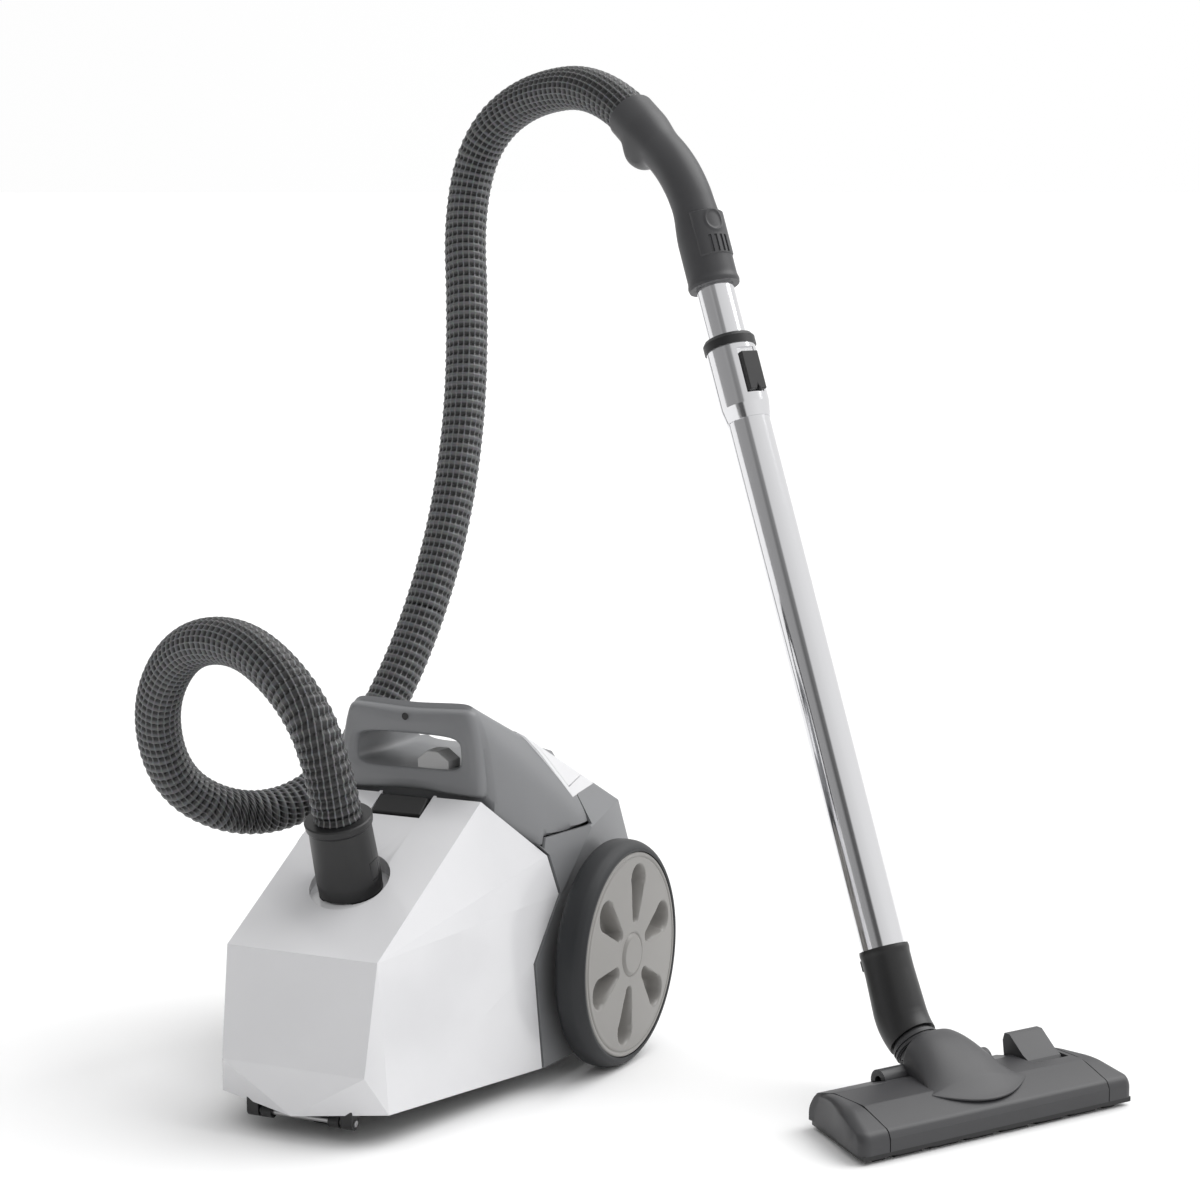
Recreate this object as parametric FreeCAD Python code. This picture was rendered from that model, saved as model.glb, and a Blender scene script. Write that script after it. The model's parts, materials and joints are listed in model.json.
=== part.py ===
import FreeCAD, Part
import math
import os
from itertools import combinations

# Canister vacuum cleaner: a canister on two big wheels and a front caster, a corrugated
# hose, a bent grip, a telescopic chrome wand and a floor head. All sizes in millimetres.
# Working frame: x = 0 is the canister's centre plane, -Y is its front, z = 0 is the floor.
# At the end everything is moved so that the origin lies under the middle of the object.

V = FreeCAD.Vector
origin = V(0, 0, 0)
ex, ez = V(1, 0, 0), V(0, 0, 1)

# ---------------------------------------------------------------- driving dimensions
wall = 2.6             # moulded shells of the canister
headWall = 2.4         # moulded shells of the floor head
runFit = 0.06          # radial clearance of a turning shaft
slideFit = 0.35        # clearance around a sliding or pressed button
panGap = 3.0           # gap between the lid and the tub inside it
seamGap = 2.6          # gap between the lid and the rear shells

wheelR = 92.5          # rear wheels
wheelWidth = 27.0
axleY = 92.0
axleR = 6.0
tyreThick = 9.0
casterY = -150.0

frontHalf = 65.5       # half width of the front face at its crease
sideHalf = 108.0       # half width at the wheels
wheelInnerX = sideHalf + 9.5   # inner face of a wheel
creaseZ = 141.0        # height of the crease round the front
lidTopZ = 234.0        # top edge of the lid
handleTopZ = 313.0     # top of the carry handle
rearY = 194.0          # back of the canister

hoseOd = 38.0
hoseId = 31.0
connectorR = hoseOd / 2 + 6.9  # black cuff on the canister end of the hose
connectorTall = 56.0
connectorTilt = 17.0   # degrees forward from vertical
spigotR = connectorR - 5.9
hoseDepthInCuff = 12.0

outerTubeR = 17.5      # wand
tubeWall = 1.1
innerTubeR = outerTubeR - tubeWall - 0.8
wandTilt = 24.1        # degrees back from vertical
tubeLength = 440.0     # outer tube, from the cuff's mouth to the collar
collarR = outerTubeR + 3.0
collarLength = 62.0
innerShown = 45.0      # inner tube seen above the collar
telescopeTravel = 330.0

headLength = 270.0     # floor head
headDepth = 96.0
headTall = 34.0
headAt = V(432, 73, 0)
headTurn = 60.4        # degrees, turn of the head about the vertical
neckY = 34.0           # tilt axle behind the head's middle
neckZ = 31.0
neckLift = 38.0        # degrees above level of the neck's swivel axis
barrelR = 15.0
cuffR = outerTubeR + 4.5
cuffLength = 50.0

gripR = 17.5           # grip where the hand closes round it
gripBore = gripR - 3.5
gripSocketR = innerTubeR + 4.9     # round the wand's end
hoseSocketR = hoseOd / 2 + 5       # round the hose's end


# ---------------------------------------------------------------- general helpers
def planesOf(points, tol=0.02):
    """Outward planes (normal, offset, points on it) of the convex hull of the points."""
    middle = V(0, 0, 0)
    for p in points:
        middle = middle + p
    middle = middle * (1.0 / len(points))
    found = []
    for a, b, c in combinations(points, 3):
        normal = (b - a).cross(c - a)
        if normal.Length < 1.0:
            continue
        normal.normalize()
        if normal.dot(middle - a) > 0:
            normal = normal * -1
        offset = normal.dot(a)
        if any(normal.dot(p) > offset + tol for p in points):
            continue
        if any(normal.dot(n) > 1 - 1e-7 and abs(offset - o) < 0.05 for n, o, _ in found):
            continue
        found.append((normal, offset, [p for p in points if abs(normal.dot(p) - offset) < tol]))
    return found


def hull(points):
    """Solid convex hull of a list of points."""
    faces = []
    for normal, offset, on in planesOf(points):
        centre = V(0, 0, 0)
        for p in on:
            centre = centre + p
        centre = centre * (1.0 / len(on))
        u = (on[0] - centre).normalize()
        w = normal.cross(u)
        ring = sorted(on, key=lambda p: math.atan2((p - centre).dot(w), (p - centre).dot(u)))
        ring = cornersOnly(ring)
        faces.append(Part.Face(Part.makePolygon(ring + [ring[0]])))
    shell = Part.Shell(faces)
    solid = Part.Solid(shell)
    if solid.Volume < 0:
        solid.reverse()
    return solid


def cornersOnly(ring):
    """The ring without points that lie between their neighbours on a straight line."""
    kept = []
    for i, p in enumerate(ring):
        before, after = ring[i - 1], ring[(i + 1) % len(ring)]
        if (p - before).cross(after - p).Length > 0.05:
            kept.append(p)
    return kept


def inset(points, depth):
    """The convex hull of the points with each of its planes moved in by depth."""
    solid = Part.makeBox(800, 800, 800, V(-400, -400, -400))
    for normal, offset, on in planesOf(points):
        outside = Part.makeBox(1600, 1600, 900)
        turn = FreeCAD.Rotation(ez, normal)
        corner = normal * (offset - depth) - turn.multVec(V(800, 800, 0))
        outside.Placement = FreeCAD.Placement(corner, turn)
        solid = solid.cut(outside)
    return solid


def pairs(points):
    """Each point and its mirror image in the centre plane x = 0."""
    out = []
    for x, y, z in points:
        out.append(V(x, y, z))
        if abs(x) > 1e-6:
            out.append(V(-x, y, z))
    return out


def block(x0, x1, y0, y1, z0, z1):
    return Part.makeBox(x1 - x0, y1 - y0, z1 - z0, V(x0, y0, z0))


def slabX(outline, x0, x1):
    """Prism along X on an outline of (y, z) points."""
    ring = [V(x0, y, z) for y, z in outline]
    return Part.Face(Part.makePolygon(ring + [ring[0]])).extrude(V(x1 - x0, 0, 0))


def slabY(outline, y0, y1):
    """Prism along Y on an outline of (x, z) points."""
    ring = [V(x, y0, z) for x, z in outline]
    return Part.Face(Part.makePolygon(ring + [ring[0]])).extrude(V(0, y1 - y0, 0))


def slabZ(outline, z0, z1):
    """Prism along Z on an outline of (x, y) points."""
    ring = [V(x, y, z0) for x, y in outline]
    return Part.Face(Part.makePolygon(ring + [ring[0]])).extrude(V(0, 0, z1 - z0))


def rod(radius, start, end):
    return Part.makeCylinder(radius, (end - start).Length, start, end - start)


def pipe(outer, inner, start, end):
    return rod(outer, start, end).cut(rod(inner, start, end))


def turned(outline, base, axis):
    """Solid of revolution of (radius, height) points about an axis through base."""
    ring = [V(r, 0, h) for r, h in outline]
    solid = Part.Face(Part.makePolygon(ring + [ring[0]])).revolve(origin, ez, 360)
    solid.Placement = FreeCAD.Placement(base, FreeCAD.Rotation(ez, axis))
    return Part.Solid(solid) if solid.ShapeType != "Solid" else solid


def filleted(shape, radius, wanted):
    """The shape with the edges that wanted(edge) picks rounded."""
    edges = [e for e in shape.Edges if wanted(e)]
    return shape.makeFillet(radius, edges)


def fuse(*shapes):
    out = shapes[0].multiFuse(list(shapes[1:]))
    return out.removeSplitter()


def atHead(shape):
    """Moves a shape from the floor head's own frame (front -Y) to its place."""
    moved = shape.copy()
    moved.rotate(origin, ez, headTurn)
    moved.translate(headAt)
    return moved


nodes = {}


def add(name, *shapes):
    """Keeps a node: one solid, or a group of separate solids."""
    solids = []
    for shape in shapes:
        solids.extend(s for s in shape.Solids if s.Volume > 1.0)
    nodes[name] = solids[0] if len(solids) == 1 else Part.makeCompound(solids)


# ---------------------------------------------------------------- canister shells
casePoints = pairs([
    (0, -200, 20), (73, -180, 25), (62, -197, 56), (frontHalf, -182, creaseZ),
    (66, -16, lidTopZ), (95, -60, 45), (92, 37, 181), (105, 41, 150), (105, -3, 103),
    (106, 12, 15), (sideHalf, 60, 15), (sideHalf, 60, 150), (sideHalf, 175, 30),
    (sideHalf, 175, 120), (105, 96, 193), (96, 85, 209), (72, 50, lidTopZ + 3),
    (90, rearY, 22), (92, rearY, 140), (70, rearY - 6, 160),
])
archPoints = pairs([
    (60, -15, 301), (50, -12, handleTopZ), (67, -15, lidTopZ), (92.6, 37, 181),
    (105.6, 41, 150), (76, 42, 257), (57, 47, 268), (96.6, 85, 210), (60, 81, 259),
    (105.6, 96, 193), (100, rearY - 9, 150), (90, rearY - 16, 199), (60, rearY - 9, 120),
    (sideHalf, 110, 165), (60, 0, 180),
])
seam = [(-17, 400), (-17, lidTopZ - 2), (37, 181), (41, 150), (-3, 103), (12, 0), (-400, 0), (-400, 400)]
seamLip = [(y - seamGap, z) if y > -300 else (y, z) for y, z in seam]
openingLow = 252.0
openingHigh = 280.0
handOpening = slabY([(-52, openingLow), (49, openingLow), (42, openingHigh), (-44, openingHigh)], -60, 260)
handOpeningWall = slabY([(-52 - wall, openingLow - wall), (49 + wall, openingLow - wall),
                         (42 + wall, openingHigh + wall), (-44 - wall, openingHigh + wall)], -60, 260)

caseOuter = hull(casePoints)
caseInner = inset(casePoints, wall)
archOuter = hull(archPoints)
archInner = inset(archPoints, wall)
frontSide = slabX(seamLip, -300, 300)
backSide = slabX(seam[:-2] + [(400, 0), (400, 400)], -300, 300)

connectorAxis = V(0, -math.sin(math.radians(connectorTilt)), math.cos(math.radians(connectorTilt)))
connectorBase = V(0, -110, 181)
socketBottom = connectorBase - connectorAxis * 27

wheelWell = fuse(*[rod(wheelR + 5, V(s * (wheelInnerX - 9), axleY, wheelR),
                       V(s * (wheelInnerX + 40), axleY, wheelR)) for s in (-1, 1)])
print("hulls built")

# lid: the white faceted front cover with its hinge knuckles and the cuff recess
hingeY, hingeZ, hingePinR, knuckleR = -184.0, 16.0, 2.5, 5.0
bulkY = 48.0           # wall between the dust chamber and the motor
latchPinY, latchPinZ = -35.0, 214.5
latchCut = block(-23, 23, -42, 0, 208, 240)
recessR = connectorR + 6
recess = rod(recessR, connectorBase - connectorAxis * 7, connectorBase + connectorAxis * 40)
socketHole = rod(spigotR + 5, connectorBase - connectorAxis * 30, connectorBase + connectorAxis * 40)
underLid = slabZ([(-70, -176), (0, -194), (70, -176), (103, 20), (-103, 20)], 0, 30)
lid = caseOuter.cut(caseInner).cut(underLid).common(frontSide)
lid = lid.cut(recess)
cup = rod(recessR + wall, connectorBase - connectorAxis * (7 + wall), connectorBase + connectorAxis * 20)
cup = cup.common(caseOuter).cut(recess).cut(socketHole)
lid = fuse(lid, cup).cut(latchCut)
latchPocket = block(-23 - wall, 23 + wall, -42 - wall, -18, 208 - wall, 240).common(caseOuter).cut(latchCut)
lid = fuse(lid, latchPocket)
lid = lid.cut(rod(1.5 + runFit, V(-24.8, latchPinY, latchPinZ), V(24.8, latchPinY, latchPinZ)))
knuckles = []
for x in (-46, 36):
    arm = block(x, x + 10, hingeY - knuckleR, hingeY + knuckleR, hingeZ, hingeZ + 10)
    knuckles.append(fuse(arm, rod(knuckleR, V(x, hingeY, hingeZ), V(x + 10, hingeY, hingeZ))))
lid = fuse(lid, *knuckles)
lid = lid.cut(rod(hingePinR + runFit, V(-60, hingeY, hingeZ), V(60, hingeY, hingeZ)))
add("lid", lid)

# tub inside the lid, carrying the dust bag, the caster and the hinge pin
panZone = block(-200, 200, -153, bulkY - 1, 24, 66)
panWallZone = block(-200, 200, -150, 300, 24 + 3, 300)
panOuter = inset(casePoints, wall + panGap).common(panZone)
basePan = panOuter.cut(inset(casePoints, wall + panGap + wall).common(panWallZone))
lugWidth = 9.0
lugs = []
for x in (-34, 25):
    arm = block(x, x + lugWidth, hingeY, casterY + 10, hingeZ - 2, 25)
    lugs.append(fuse(arm, rod(knuckleR, V(x, hingeY, hingeZ), V(x + lugWidth, hingeY, hingeZ))))
casterPlate = block(-22, 22, casterY - 2, casterY + 40, 24, 28)
basePan = fuse(basePan, casterPlate, *lugs)
basePan = basePan.cut(rod(hingePinR, V(-60, hingeY, hingeZ), V(60, hingeY, hingeZ)))
casterPostY = casterY + 14
basePan = fuse(basePan, rod(11, V(0, casterPostY, 24), V(0, casterPostY, 44)))
basePan = basePan.cut(rod(5 + runFit, V(0, casterPostY, 20), V(0, casterPostY, 40)))
add("base_pan", basePan)
add("lid_hinge_pin", rod(hingePinR, V(-47, hingeY, hingeZ), V(47, hingeY, hingeZ)))

# rear shells: grey casing, carry handle and white rear cover are cut from one form
rearOuter = fuse(caseOuter, archOuter).common(backSide).cut(handOpening)
rearInner = fuse(caseInner, archInner).cut(handOpeningWall)
rearForm = rearOuter.cut(rearInner).cut(wheelWell)
openFront = inset(casePoints, 9.0).common(block(-300, 300, -80, 60, 45, 222))
rearForm = rearForm.cut(openFront)
handleZone = slabX([(-30, 228), (-17, 228), (-17, 224), (32, 187), (60, 240), (60, 330), (-30, 330)],
                   -150, 150)
handleZone = fuse(handleZone, block(52, 150, 30, 100, 195, 300), block(-150, -52, 30, 100, 195, 300))
coverZone = slabZ([(-60, 52), (60, 52), (92, 89), (84, 142), (62, rearY - 12), (-62, rearY - 12),
                   (-84, 142), (-92, 89)], 150, 300)
rearCover = rearForm.common(coverZone).common(block(-200, 200, 40, 400, 158, 400))
handle = rearForm.common(handleZone).cut(coverZone)
rearCasing = rearForm.cut(handleZone).cut(coverZone)
rearCasing = fuse(rearCasing, rearForm.common(coverZone).cut(block(-200, 200, 40, 400, 158, 400)))
add("carry_handle", handle)
add("rear_casing", rearCasing)
add("rear_cover", rearCover)


# ---------------------------------------------------------------- lid: socket, latch, cuff
socketR = spigotR + 4.7
socket = pipe(socketR, spigotR + runFit, socketBottom, connectorBase - connectorAxis * 9.7)
socketFlange = pipe(spigotR + 10, spigotR + runFit, connectorBase - connectorAxis * 12.4,
                    connectorBase - connectorAxis * 9.7)
add("inlet_socket", fuse(socket, socketFlange))
add("inlet_gasket", pipe(socketR + 2.4, spigotR - 2, socketBottom - connectorAxis * 4, socketBottom))

latchHalf = 22.0
latchOutline = [(-38, 211), (-19, 211), (-19, 231), (-25, 232), (-38, 221.5)]
latch = slabX(latchOutline, -latchHalf, latchHalf)
latch = filleted(latch, 2.0, lambda e: e.Length < 25 and abs(e.CenterOfMass.x) > latchHalf - 1)
latch = fuse(latch, rod(1.5, V(-24.4, latchPinY, latchPinZ), V(24.4, latchPinY, latchPinZ)))
add("lid_latch", latch)

# connector cuff: a tapered sleeve with a rim, standing on a spigot that turns in the socket
cuffProfile = [(spigotR - 2.2, -22), (spigotR, -22), (spigotR, -6), (connectorR - 1.2, -6),
               (connectorR - 0.6, 4), (connectorR - 1.6, connectorTall - 8), (connectorR, connectorTall - 6),
               (connectorR + 0.6, connectorTall - 1), (connectorR - 0.4, connectorTall),
               (hoseOd / 2, connectorTall), (hoseOd / 2, connectorTall - hoseDepthInCuff),
               (hoseId / 2, connectorTall - hoseDepthInCuff), (hoseId / 2, 0), (spigotR - 2.2, -4)]
cuff = turned(cuffProfile, connectorBase, connectorAxis)
buttonLow, buttonHigh = 6.0, 21.0
buttonHalf = 5.5
slotMiddle = connectorR - 0.9
buttonMiddle = connectorR - 1.3
buttonSlots = [block(-buttonHalf, buttonHalf, s * slotMiddle - 6, s * slotMiddle + 6, buttonLow, buttonHigh)
               for s in (-1, 1)]
buttons = [block(-buttonHalf + slideFit, buttonHalf - slideFit,
                 s * buttonMiddle - 2.4, s * buttonMiddle + 2.4,
                 buttonLow + slideFit, buttonHigh - slideFit) for s in (-1, 1)]
cuffFrame = FreeCAD.Placement(connectorBase, FreeCAD.Rotation(ez, connectorAxis)).multiply(
    FreeCAD.Placement(origin, FreeCAD.Rotation(ez, 90)))


def onCuff(shape):
    moved = shape.copy()
    moved.Placement = cuffFrame.multiply(moved.Placement)
    return moved


buttonWell = fuse(*[onCuff(b) for b in buttonSlots])
well = pipe(60, hoseId / 2 + 6.2, connectorBase - connectorAxis * 10, connectorBase + connectorAxis * 30)
cuff = cuff.cut(buttonWell.common(well))
add("hose_connector", cuff)
roundOff = rod(connectorR - 0.9, connectorBase - connectorAxis * 10, connectorBase + connectorAxis * 30)
for name, button in zip(("connector_button_left", "connector_button_right"), buttons):
    add(name, onCuff(button).common(roundOff).cut(rod(connectorR - 2.5, connectorBase - connectorAxis * 30,
                                                    connectorBase + connectorAxis * 40)))

# ---------------------------------------------------------------- deck slider and pedals
knobX, knobY = 19.0, -2.0
deckTop = openingLow
knob = slabY([(knobX - 14, deckTop + 0.4), (knobX + 14, deckTop + 0.4), (knobX + 14, deckTop + 8),
              (knobX + 4, deckTop + 15), (knobX - 6, deckTop + 15), (knobX - 14, deckTop + 8)],
             knobY - 10, knobY + 10)
stem = block(knobX - 5, knobX + 5, knobY - 2.5, knobY + 2.5, deckTop - 9, deckTop + 2)
add("suction_slider_knob", fuse(knob, stem))
knobSlot = block(knobX - 5.5 - 40, knobX + 5.5 + 8, knobY - 2.5 - slideFit, knobY + 2.5 + slideFit,
                 deckTop - wall - 6, deckTop + 1)
handle = handle.cut(knobSlot)
rearCasing = rearCasing.cut(knobSlot)
screwHole = rod(2.6, V(-3, -30, 293), V(-3, -15 + wall + 0.5, 293))
handle = handle.cut(screwHole)
add("handle_screw", fuse(rod(2.5, V(-3, -15 + wall + 0.6, 293), V(-3, -15 + wall + 4, 293)),
                         rod(1.5, V(-3, -15 + wall + 3, 293), V(-3, 8, 293))))
handleGrip = block(-9, 3, -15 + wall, 10, 287, 299).cut(rod(2.6, V(-3, -30, 293), V(-3, -15 + wall + 4, 293)))
handleGrip = handleGrip.cut(rod(1.5, V(-3, -30, 293), V(-3, 30, 293)))
handle = fuse(handle, handleGrip.common(archInner))
nodes["carry_handle"] = handle
nodes["rear_casing"] = rearCasing

pedalOutline = [(46, 66), (60, 59), (87, 91), (79, 134), (58, 122)]
pedalGap = 0.6


def grown(outline, gap):
    """The outline moved outwards by the gap, about its own middle."""
    cx = sum(p[0] for p in outline) / len(outline)
    cy = sum(p[1] for p in outline) / len(outline)
    out = []
    for x, y in outline:
        size = math.hypot(x - cx, y - cy)
        out.append((x + (x - cx) / size * gap, y + (y - cy) / size * gap))
    return out


for name, side in (("cord_rewind_pedal", -1), ("power_pedal", 1)):
    outline = [(side * x, y) for x, y in pedalOutline]
    pedal = rearForm.common(slabZ(outline, 150, 320))
    rearCover = rearCover.cut(slabZ(grown(outline, pedalGap), 150, 320))
    nodes["carry_handle"] = nodes["carry_handle"].cut(slabZ(grown(outline, pedalGap), 150, 320))
    stem = rod(5, V(side * 62, 100, 196), V(side * 62, 100, 280)).common(archOuter)
    pedal = max(pedal.Solids, key=lambda s: s.BoundBox.ZMax)
    add(name, fuse(pedal, stem))
    add(name.replace("pedal", "spring"), pipe(5, 3.8, V(side * 62, 100, 176), V(side * 62, 100, 196)))
rearCover = rearCover.Solids
rearCover.sort(key=lambda s: -s.Volume)
nodes["rear_cover"] = rearCover[0]

# ---------------------------------------------------------------- inside the canister
bulkhead = inset(casePoints, wall + 0.2).common(block(-200, 200, bulkY, bulkY + 4, 30, 214))
bulkhead = bulkhead.cut(block(-45, 45, bulkY - 5, bulkY + 9, 70, 160))
add("bulkhead", bulkhead)
add("motor_filter", block(-45, 45, bulkY - 2, bulkY + 6, 70, 160))
motorY, motorZ, motorR = 118.0, 96.0, 46.0
motorX0, motorX1 = -88.0, -8.0
add("motor", fuse(rod(motorR, V(motorX0 + 14, motorY, motorZ), V(motorX0 + 60, motorY, motorZ)),
                  rod(30, V(motorX0 + 60, motorY, motorZ), V(motorX1, motorY, motorZ)),
                  rod(4, V(motorX0 + 1, motorY, motorZ), V(motorX0 + 14, motorY, motorZ))))
mountR = motorR + 4
add("motor_mounts", pipe(mountR, motorR, V(motorX0 + 20, motorY, motorZ), V(motorX0 + 28, motorY, motorZ)),
    pipe(34, 30, V(motorX1 - 12, motorY, motorZ), V(motorX1 - 4, motorY, motorZ)))
fan = rod(motorR - 6, V(motorX0 + 2, motorY, motorZ), V(motorX0 + 13, motorY, motorZ))
for i in range(8):
    angle = i * math.pi / 4
    mid = V(motorX0 + 7.5, motorY + 26 * math.cos(angle), motorZ + 26 * math.sin(angle))
    fan = fan.cut(rod(6, mid - ex * 7, mid + ex * 7))
add("fan", fan.cut(rod(4 + runFit, V(motorX0, motorY, motorZ), V(motorX0 + 14, motorY, motorZ))))
reelX0, reelX1, reelR, reelY, reelZ = 26.0, 80.0, 58.0, 118.0, 92.0
reel = fuse(rod(reelR, V(reelX0, reelY, reelZ), V(reelX0 + 3, reelY, reelZ)),
            rod(24, V(reelX0, reelY, reelZ), V(reelX1, reelY, reelZ)),
            rod(reelR, V(reelX1 - 3, reelY, reelZ), V(reelX1, reelY, reelZ)))
reel = reel.cut(rod(6 + runFit, V(0, reelY, reelZ), V(100, reelY, reelZ)))
add("cord_reel", reel)
add("reel_pin", rod(6, V(reelX0 - 6, reelY, reelZ), V(reelX1 + 6, reelY, reelZ)))
reelPosts = [block(reelX0 - 6, reelX0 - 1, reelY - 12, reelY + 12, 17, reelZ),
             block(reelX1 + 1, reelX1 + 6, reelY - 12, reelY + 12, 17, reelZ)]
motorCradle = block(motorX0 + 20, motorX0 + 28, motorY - 30, motorY + 30, 17, motorZ - 36)
motorCradle = motorCradle.cut(rod(mountR, V(motorX0 + 10, motorY, motorZ), V(motorX0 + 40, motorY, motorZ)))
rearPost = block(motorX1 - 12, motorX1 - 4, motorY - 20, motorY + 20, 17, motorZ - 20)
rearPost = rearPost.cut(rod(34, V(motorX1 - 20, motorY, motorZ), V(motorX1, motorY, motorZ)))
shelf = block(-110, 110, 86, 112, 172, 176).common(inset(casePoints, wall - 0.4))
boss = [rod(14, V(s * (wheelInnerX - 10), axleY, wheelR), V(s * (wheelInnerX - 26), axleY, wheelR))
        for s in (-1, 1)]
add("circuit_board", block(-30, 34, 90, 108, 176, 178))
casing = fuse(nodes["rear_casing"], motorCradle, rearPost, shelf, *(reelPosts + boss))
casing = casing.cut(rod(6, V(reelX0 - 6, reelY, reelZ), V(reelX1 + 6, reelY, reelZ)))
casing = casing.cut(rod(axleR, V(-200, axleY, wheelR), V(200, axleY, wheelR)))

# exhaust grille, its filter and the cord outlet at the back
grilleHole = block(-66, 34, rearY - 12, rearY + 5, 50, 116)
outletX, outletZ = 62.0, 74.0
outletHole = rod(9, V(outletX, rearY - 12, outletZ), V(outletX, rearY + 5, outletZ))
casing = casing.cut(grilleHole).cut(outletHole)
nodes["rear_casing"] = casing
grille = block(-66, 34, rearY - wall, rearY, 50, 116)
slatPitch = 8.0
for i in range(7):
    z = 55 + i * slatPitch
    grille = grille.cut(block(-60, 28, rearY - 5, rearY + 5, z, z + slatPitch / 2))
add("exhaust_grille", grille)
add("exhaust_filter", block(-66, 34, rearY - wall - 9, rearY - wall, 50, 116))
outlet = fuse(pipe(9, 4.5, V(outletX, rearY - 8, outletZ), V(outletX, rearY, outletZ)),
              pipe(13, 4.5, V(outletX, rearY, outletZ), V(outletX, rearY + 3, outletZ)))
add("cord_outlet", outlet)

# dust bag on its holder in the front chamber
bagMouth = socketBottom - connectorAxis * 4.4
holder = rod(40, bagMouth - connectorAxis * 3, bagMouth)
holder = holder.cut(rod(spigotR, bagMouth - connectorAxis * 9, bagMouth + connectorAxis))
legX, legThick, legHalf = 57.0, 3.0, 5.0
holderBar = block(-legX, legX, bagMouth.y - legHalf, bagMouth.y + legHalf,
                  bagMouth.z - legThick - 2, bagMouth.z - 2)
legMiddle = legX - legThick / 2
legs = [block(s * legMiddle - legThick / 2, s * legMiddle + legThick / 2, bagMouth.y - legHalf,
              bagMouth.y + legHalf, 27, bagMouth.z - 2) for s in (-1, 1)]
mouthBore = rod(spigotR, bagMouth - connectorAxis * 9, bagMouth + connectorAxis)
holderPlate = holder.common(inset(casePoints, wall + 3))
add("bag_holder", fuse(holderPlate, holderBar.cut(mouthBore), *legs))
bagPoints = pairs([(44, -112, 36), (44, -132, 62), (46, -138, 118), (40, -118, 132), (34, -75, 140),
                   (60, 20, 60), (52, 30, 120), (40, 20, 150), (50, 20, 34), (30, -60, 150)])
add("dust_bag", hull(bagPoints))

# ---------------------------------------------------------------- wheels and caster
axles = []
for name, side in (("left", -1), ("right", 1)):
    inner = V(side * wheelInnerX, axleY, wheelR)
    out = ex * side
    rimR = wheelR - tyreThick
    tyre = turned([(rimR, 2), (wheelR - 4, 0), (wheelR, 5), (wheelR, wheelWidth - 9),
                   (wheelR - 3, wheelWidth - 3.5), (rimR + 2, wheelWidth - 1),
                   (rimR, wheelWidth - 1.5)], inner, out)
    hub = turned([(axleR + runFit, -4), (11, -4), (11, 12), (rimR - 8, 12), (rimR - 4, 2), (rimR, 2),
                  (rimR, wheelWidth - 1.5), (rimR - 3, wheelWidth - 0.5), (18, wheelWidth - 3),
                  (17, wheelWidth - 7), (axleR + runFit, wheelWidth - 7)], inner, out)
    for i in range(6):
        angle = i * math.pi / 3 + 0.24
        far = V(0, math.cos(angle), math.sin(angle))
        across = V(0, -far.z, far.y)
        start = inner + out * 16
        outline = [far * 27, far * 44 - across * 12 * side, far * 66 - across * 13 * side,
                   far * 70 + across * 2 * side, far * 55 + across * 9 * side, far * 30 + across * 5 * side]
        ring = [start + p for p in outline]
        cut = Part.Face(Part.makePolygon(ring + [ring[0]])).extrude(out * 30)
        cut = filleted(cut, 3.2, lambda e: abs(e.tangentAt(e.FirstParameter).x) > 0.9)
        hub = hub.cut(cut)
    add(name + "_tyre", tyre)
    add(name + "_hub", hub)
    capProfile = [(0, wheelWidth - 6), (16.8, wheelWidth - 6), (16.6, wheelWidth - 2.5),
                  (14, wheelWidth - 0.5), (0, wheelWidth)]
    add(name + "_hub_cap", turned(capProfile, inner, out))
    axles.append(rod(axleR, inner - out * 26, inner + out * (wheelWidth - 8)))

add("wheel_axles", *axles)

forkY = casterPostY
rollerR, rollerY = 10.0, casterPostY - 12
forkTop = 23.4
fork = fuse(rod(5, V(0, forkY, forkTop - 2), V(0, forkY, 39)),
            block(-12, 12, rollerY - 5, forkY + 7, forkTop - 2.6, forkTop),
            block(-12, -9.4, rollerY - 5, rollerY + 6, 5, forkTop - 2),
            block(9.4, 12, rollerY - 5, rollerY + 6, 5, forkTop - 2))
fork = fork.cut(rod(2, V(-20, rollerY, rollerR), V(20, rollerY, rollerR)))
add("caster_fork", fork)
add("caster_pin", rod(2, V(-12, rollerY, rollerR), V(12, rollerY, rollerR)))
add("caster_roller", pipe(rollerR, 2 + runFit, V(-8.6, rollerY, rollerR), V(8.6, rollerY, rollerR)))
print("canister built")

# ---------------------------------------------------------------- floor head
halfL, halfD = headLength / 2, headDepth / 2
capLength = 26.0


headTaper = 26.0       # the back of the head is this much shorter at each end
headSide = [(-halfD, 7), (-halfD, 17), (-halfD + 3, 23), (-halfD + 32, headTall), (halfD - 30, headTall + 1),
            (halfD - 8, 30), (halfD, 17), (halfD, 7)]


def headHalf(y):
    """Half length of the head at a distance y from its middle, front to back."""
    return halfL - headTaper * (y + halfD) / headDepth


headBar = slabX(headSide, -halfL, halfL)
headBar = filleted(headBar, 6.0, lambda e: e.Length > halfL and e.CenterOfMass.z > 22)
headPlan = slabZ([(-halfL, -halfD), (halfL, -halfD), (headHalf(halfD), halfD), (-headHalf(halfD), halfD)],
                 0, 80)
headPlan = filleted(headPlan, 9.0, lambda e: abs(e.tangentAt(0).z) > 0.9)
headOuter = headBar.common(headPlan)
headInner = inset(pairs([(headHalf(y), y, z) for y, z in headSide]), headWall)


def headOutline(step):
    """Plan of the head, front at -Y, with every side moved in by step."""
    front, back = -halfD + step, halfD - step
    slant = step * math.hypot(headTaper, headDepth) / headDepth
    return [(-headHalf(front) + slant, front), (headHalf(front) - slant, front),
            (headHalf(back) - slant, back), (-headHalf(back) + slant, back)]


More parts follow.
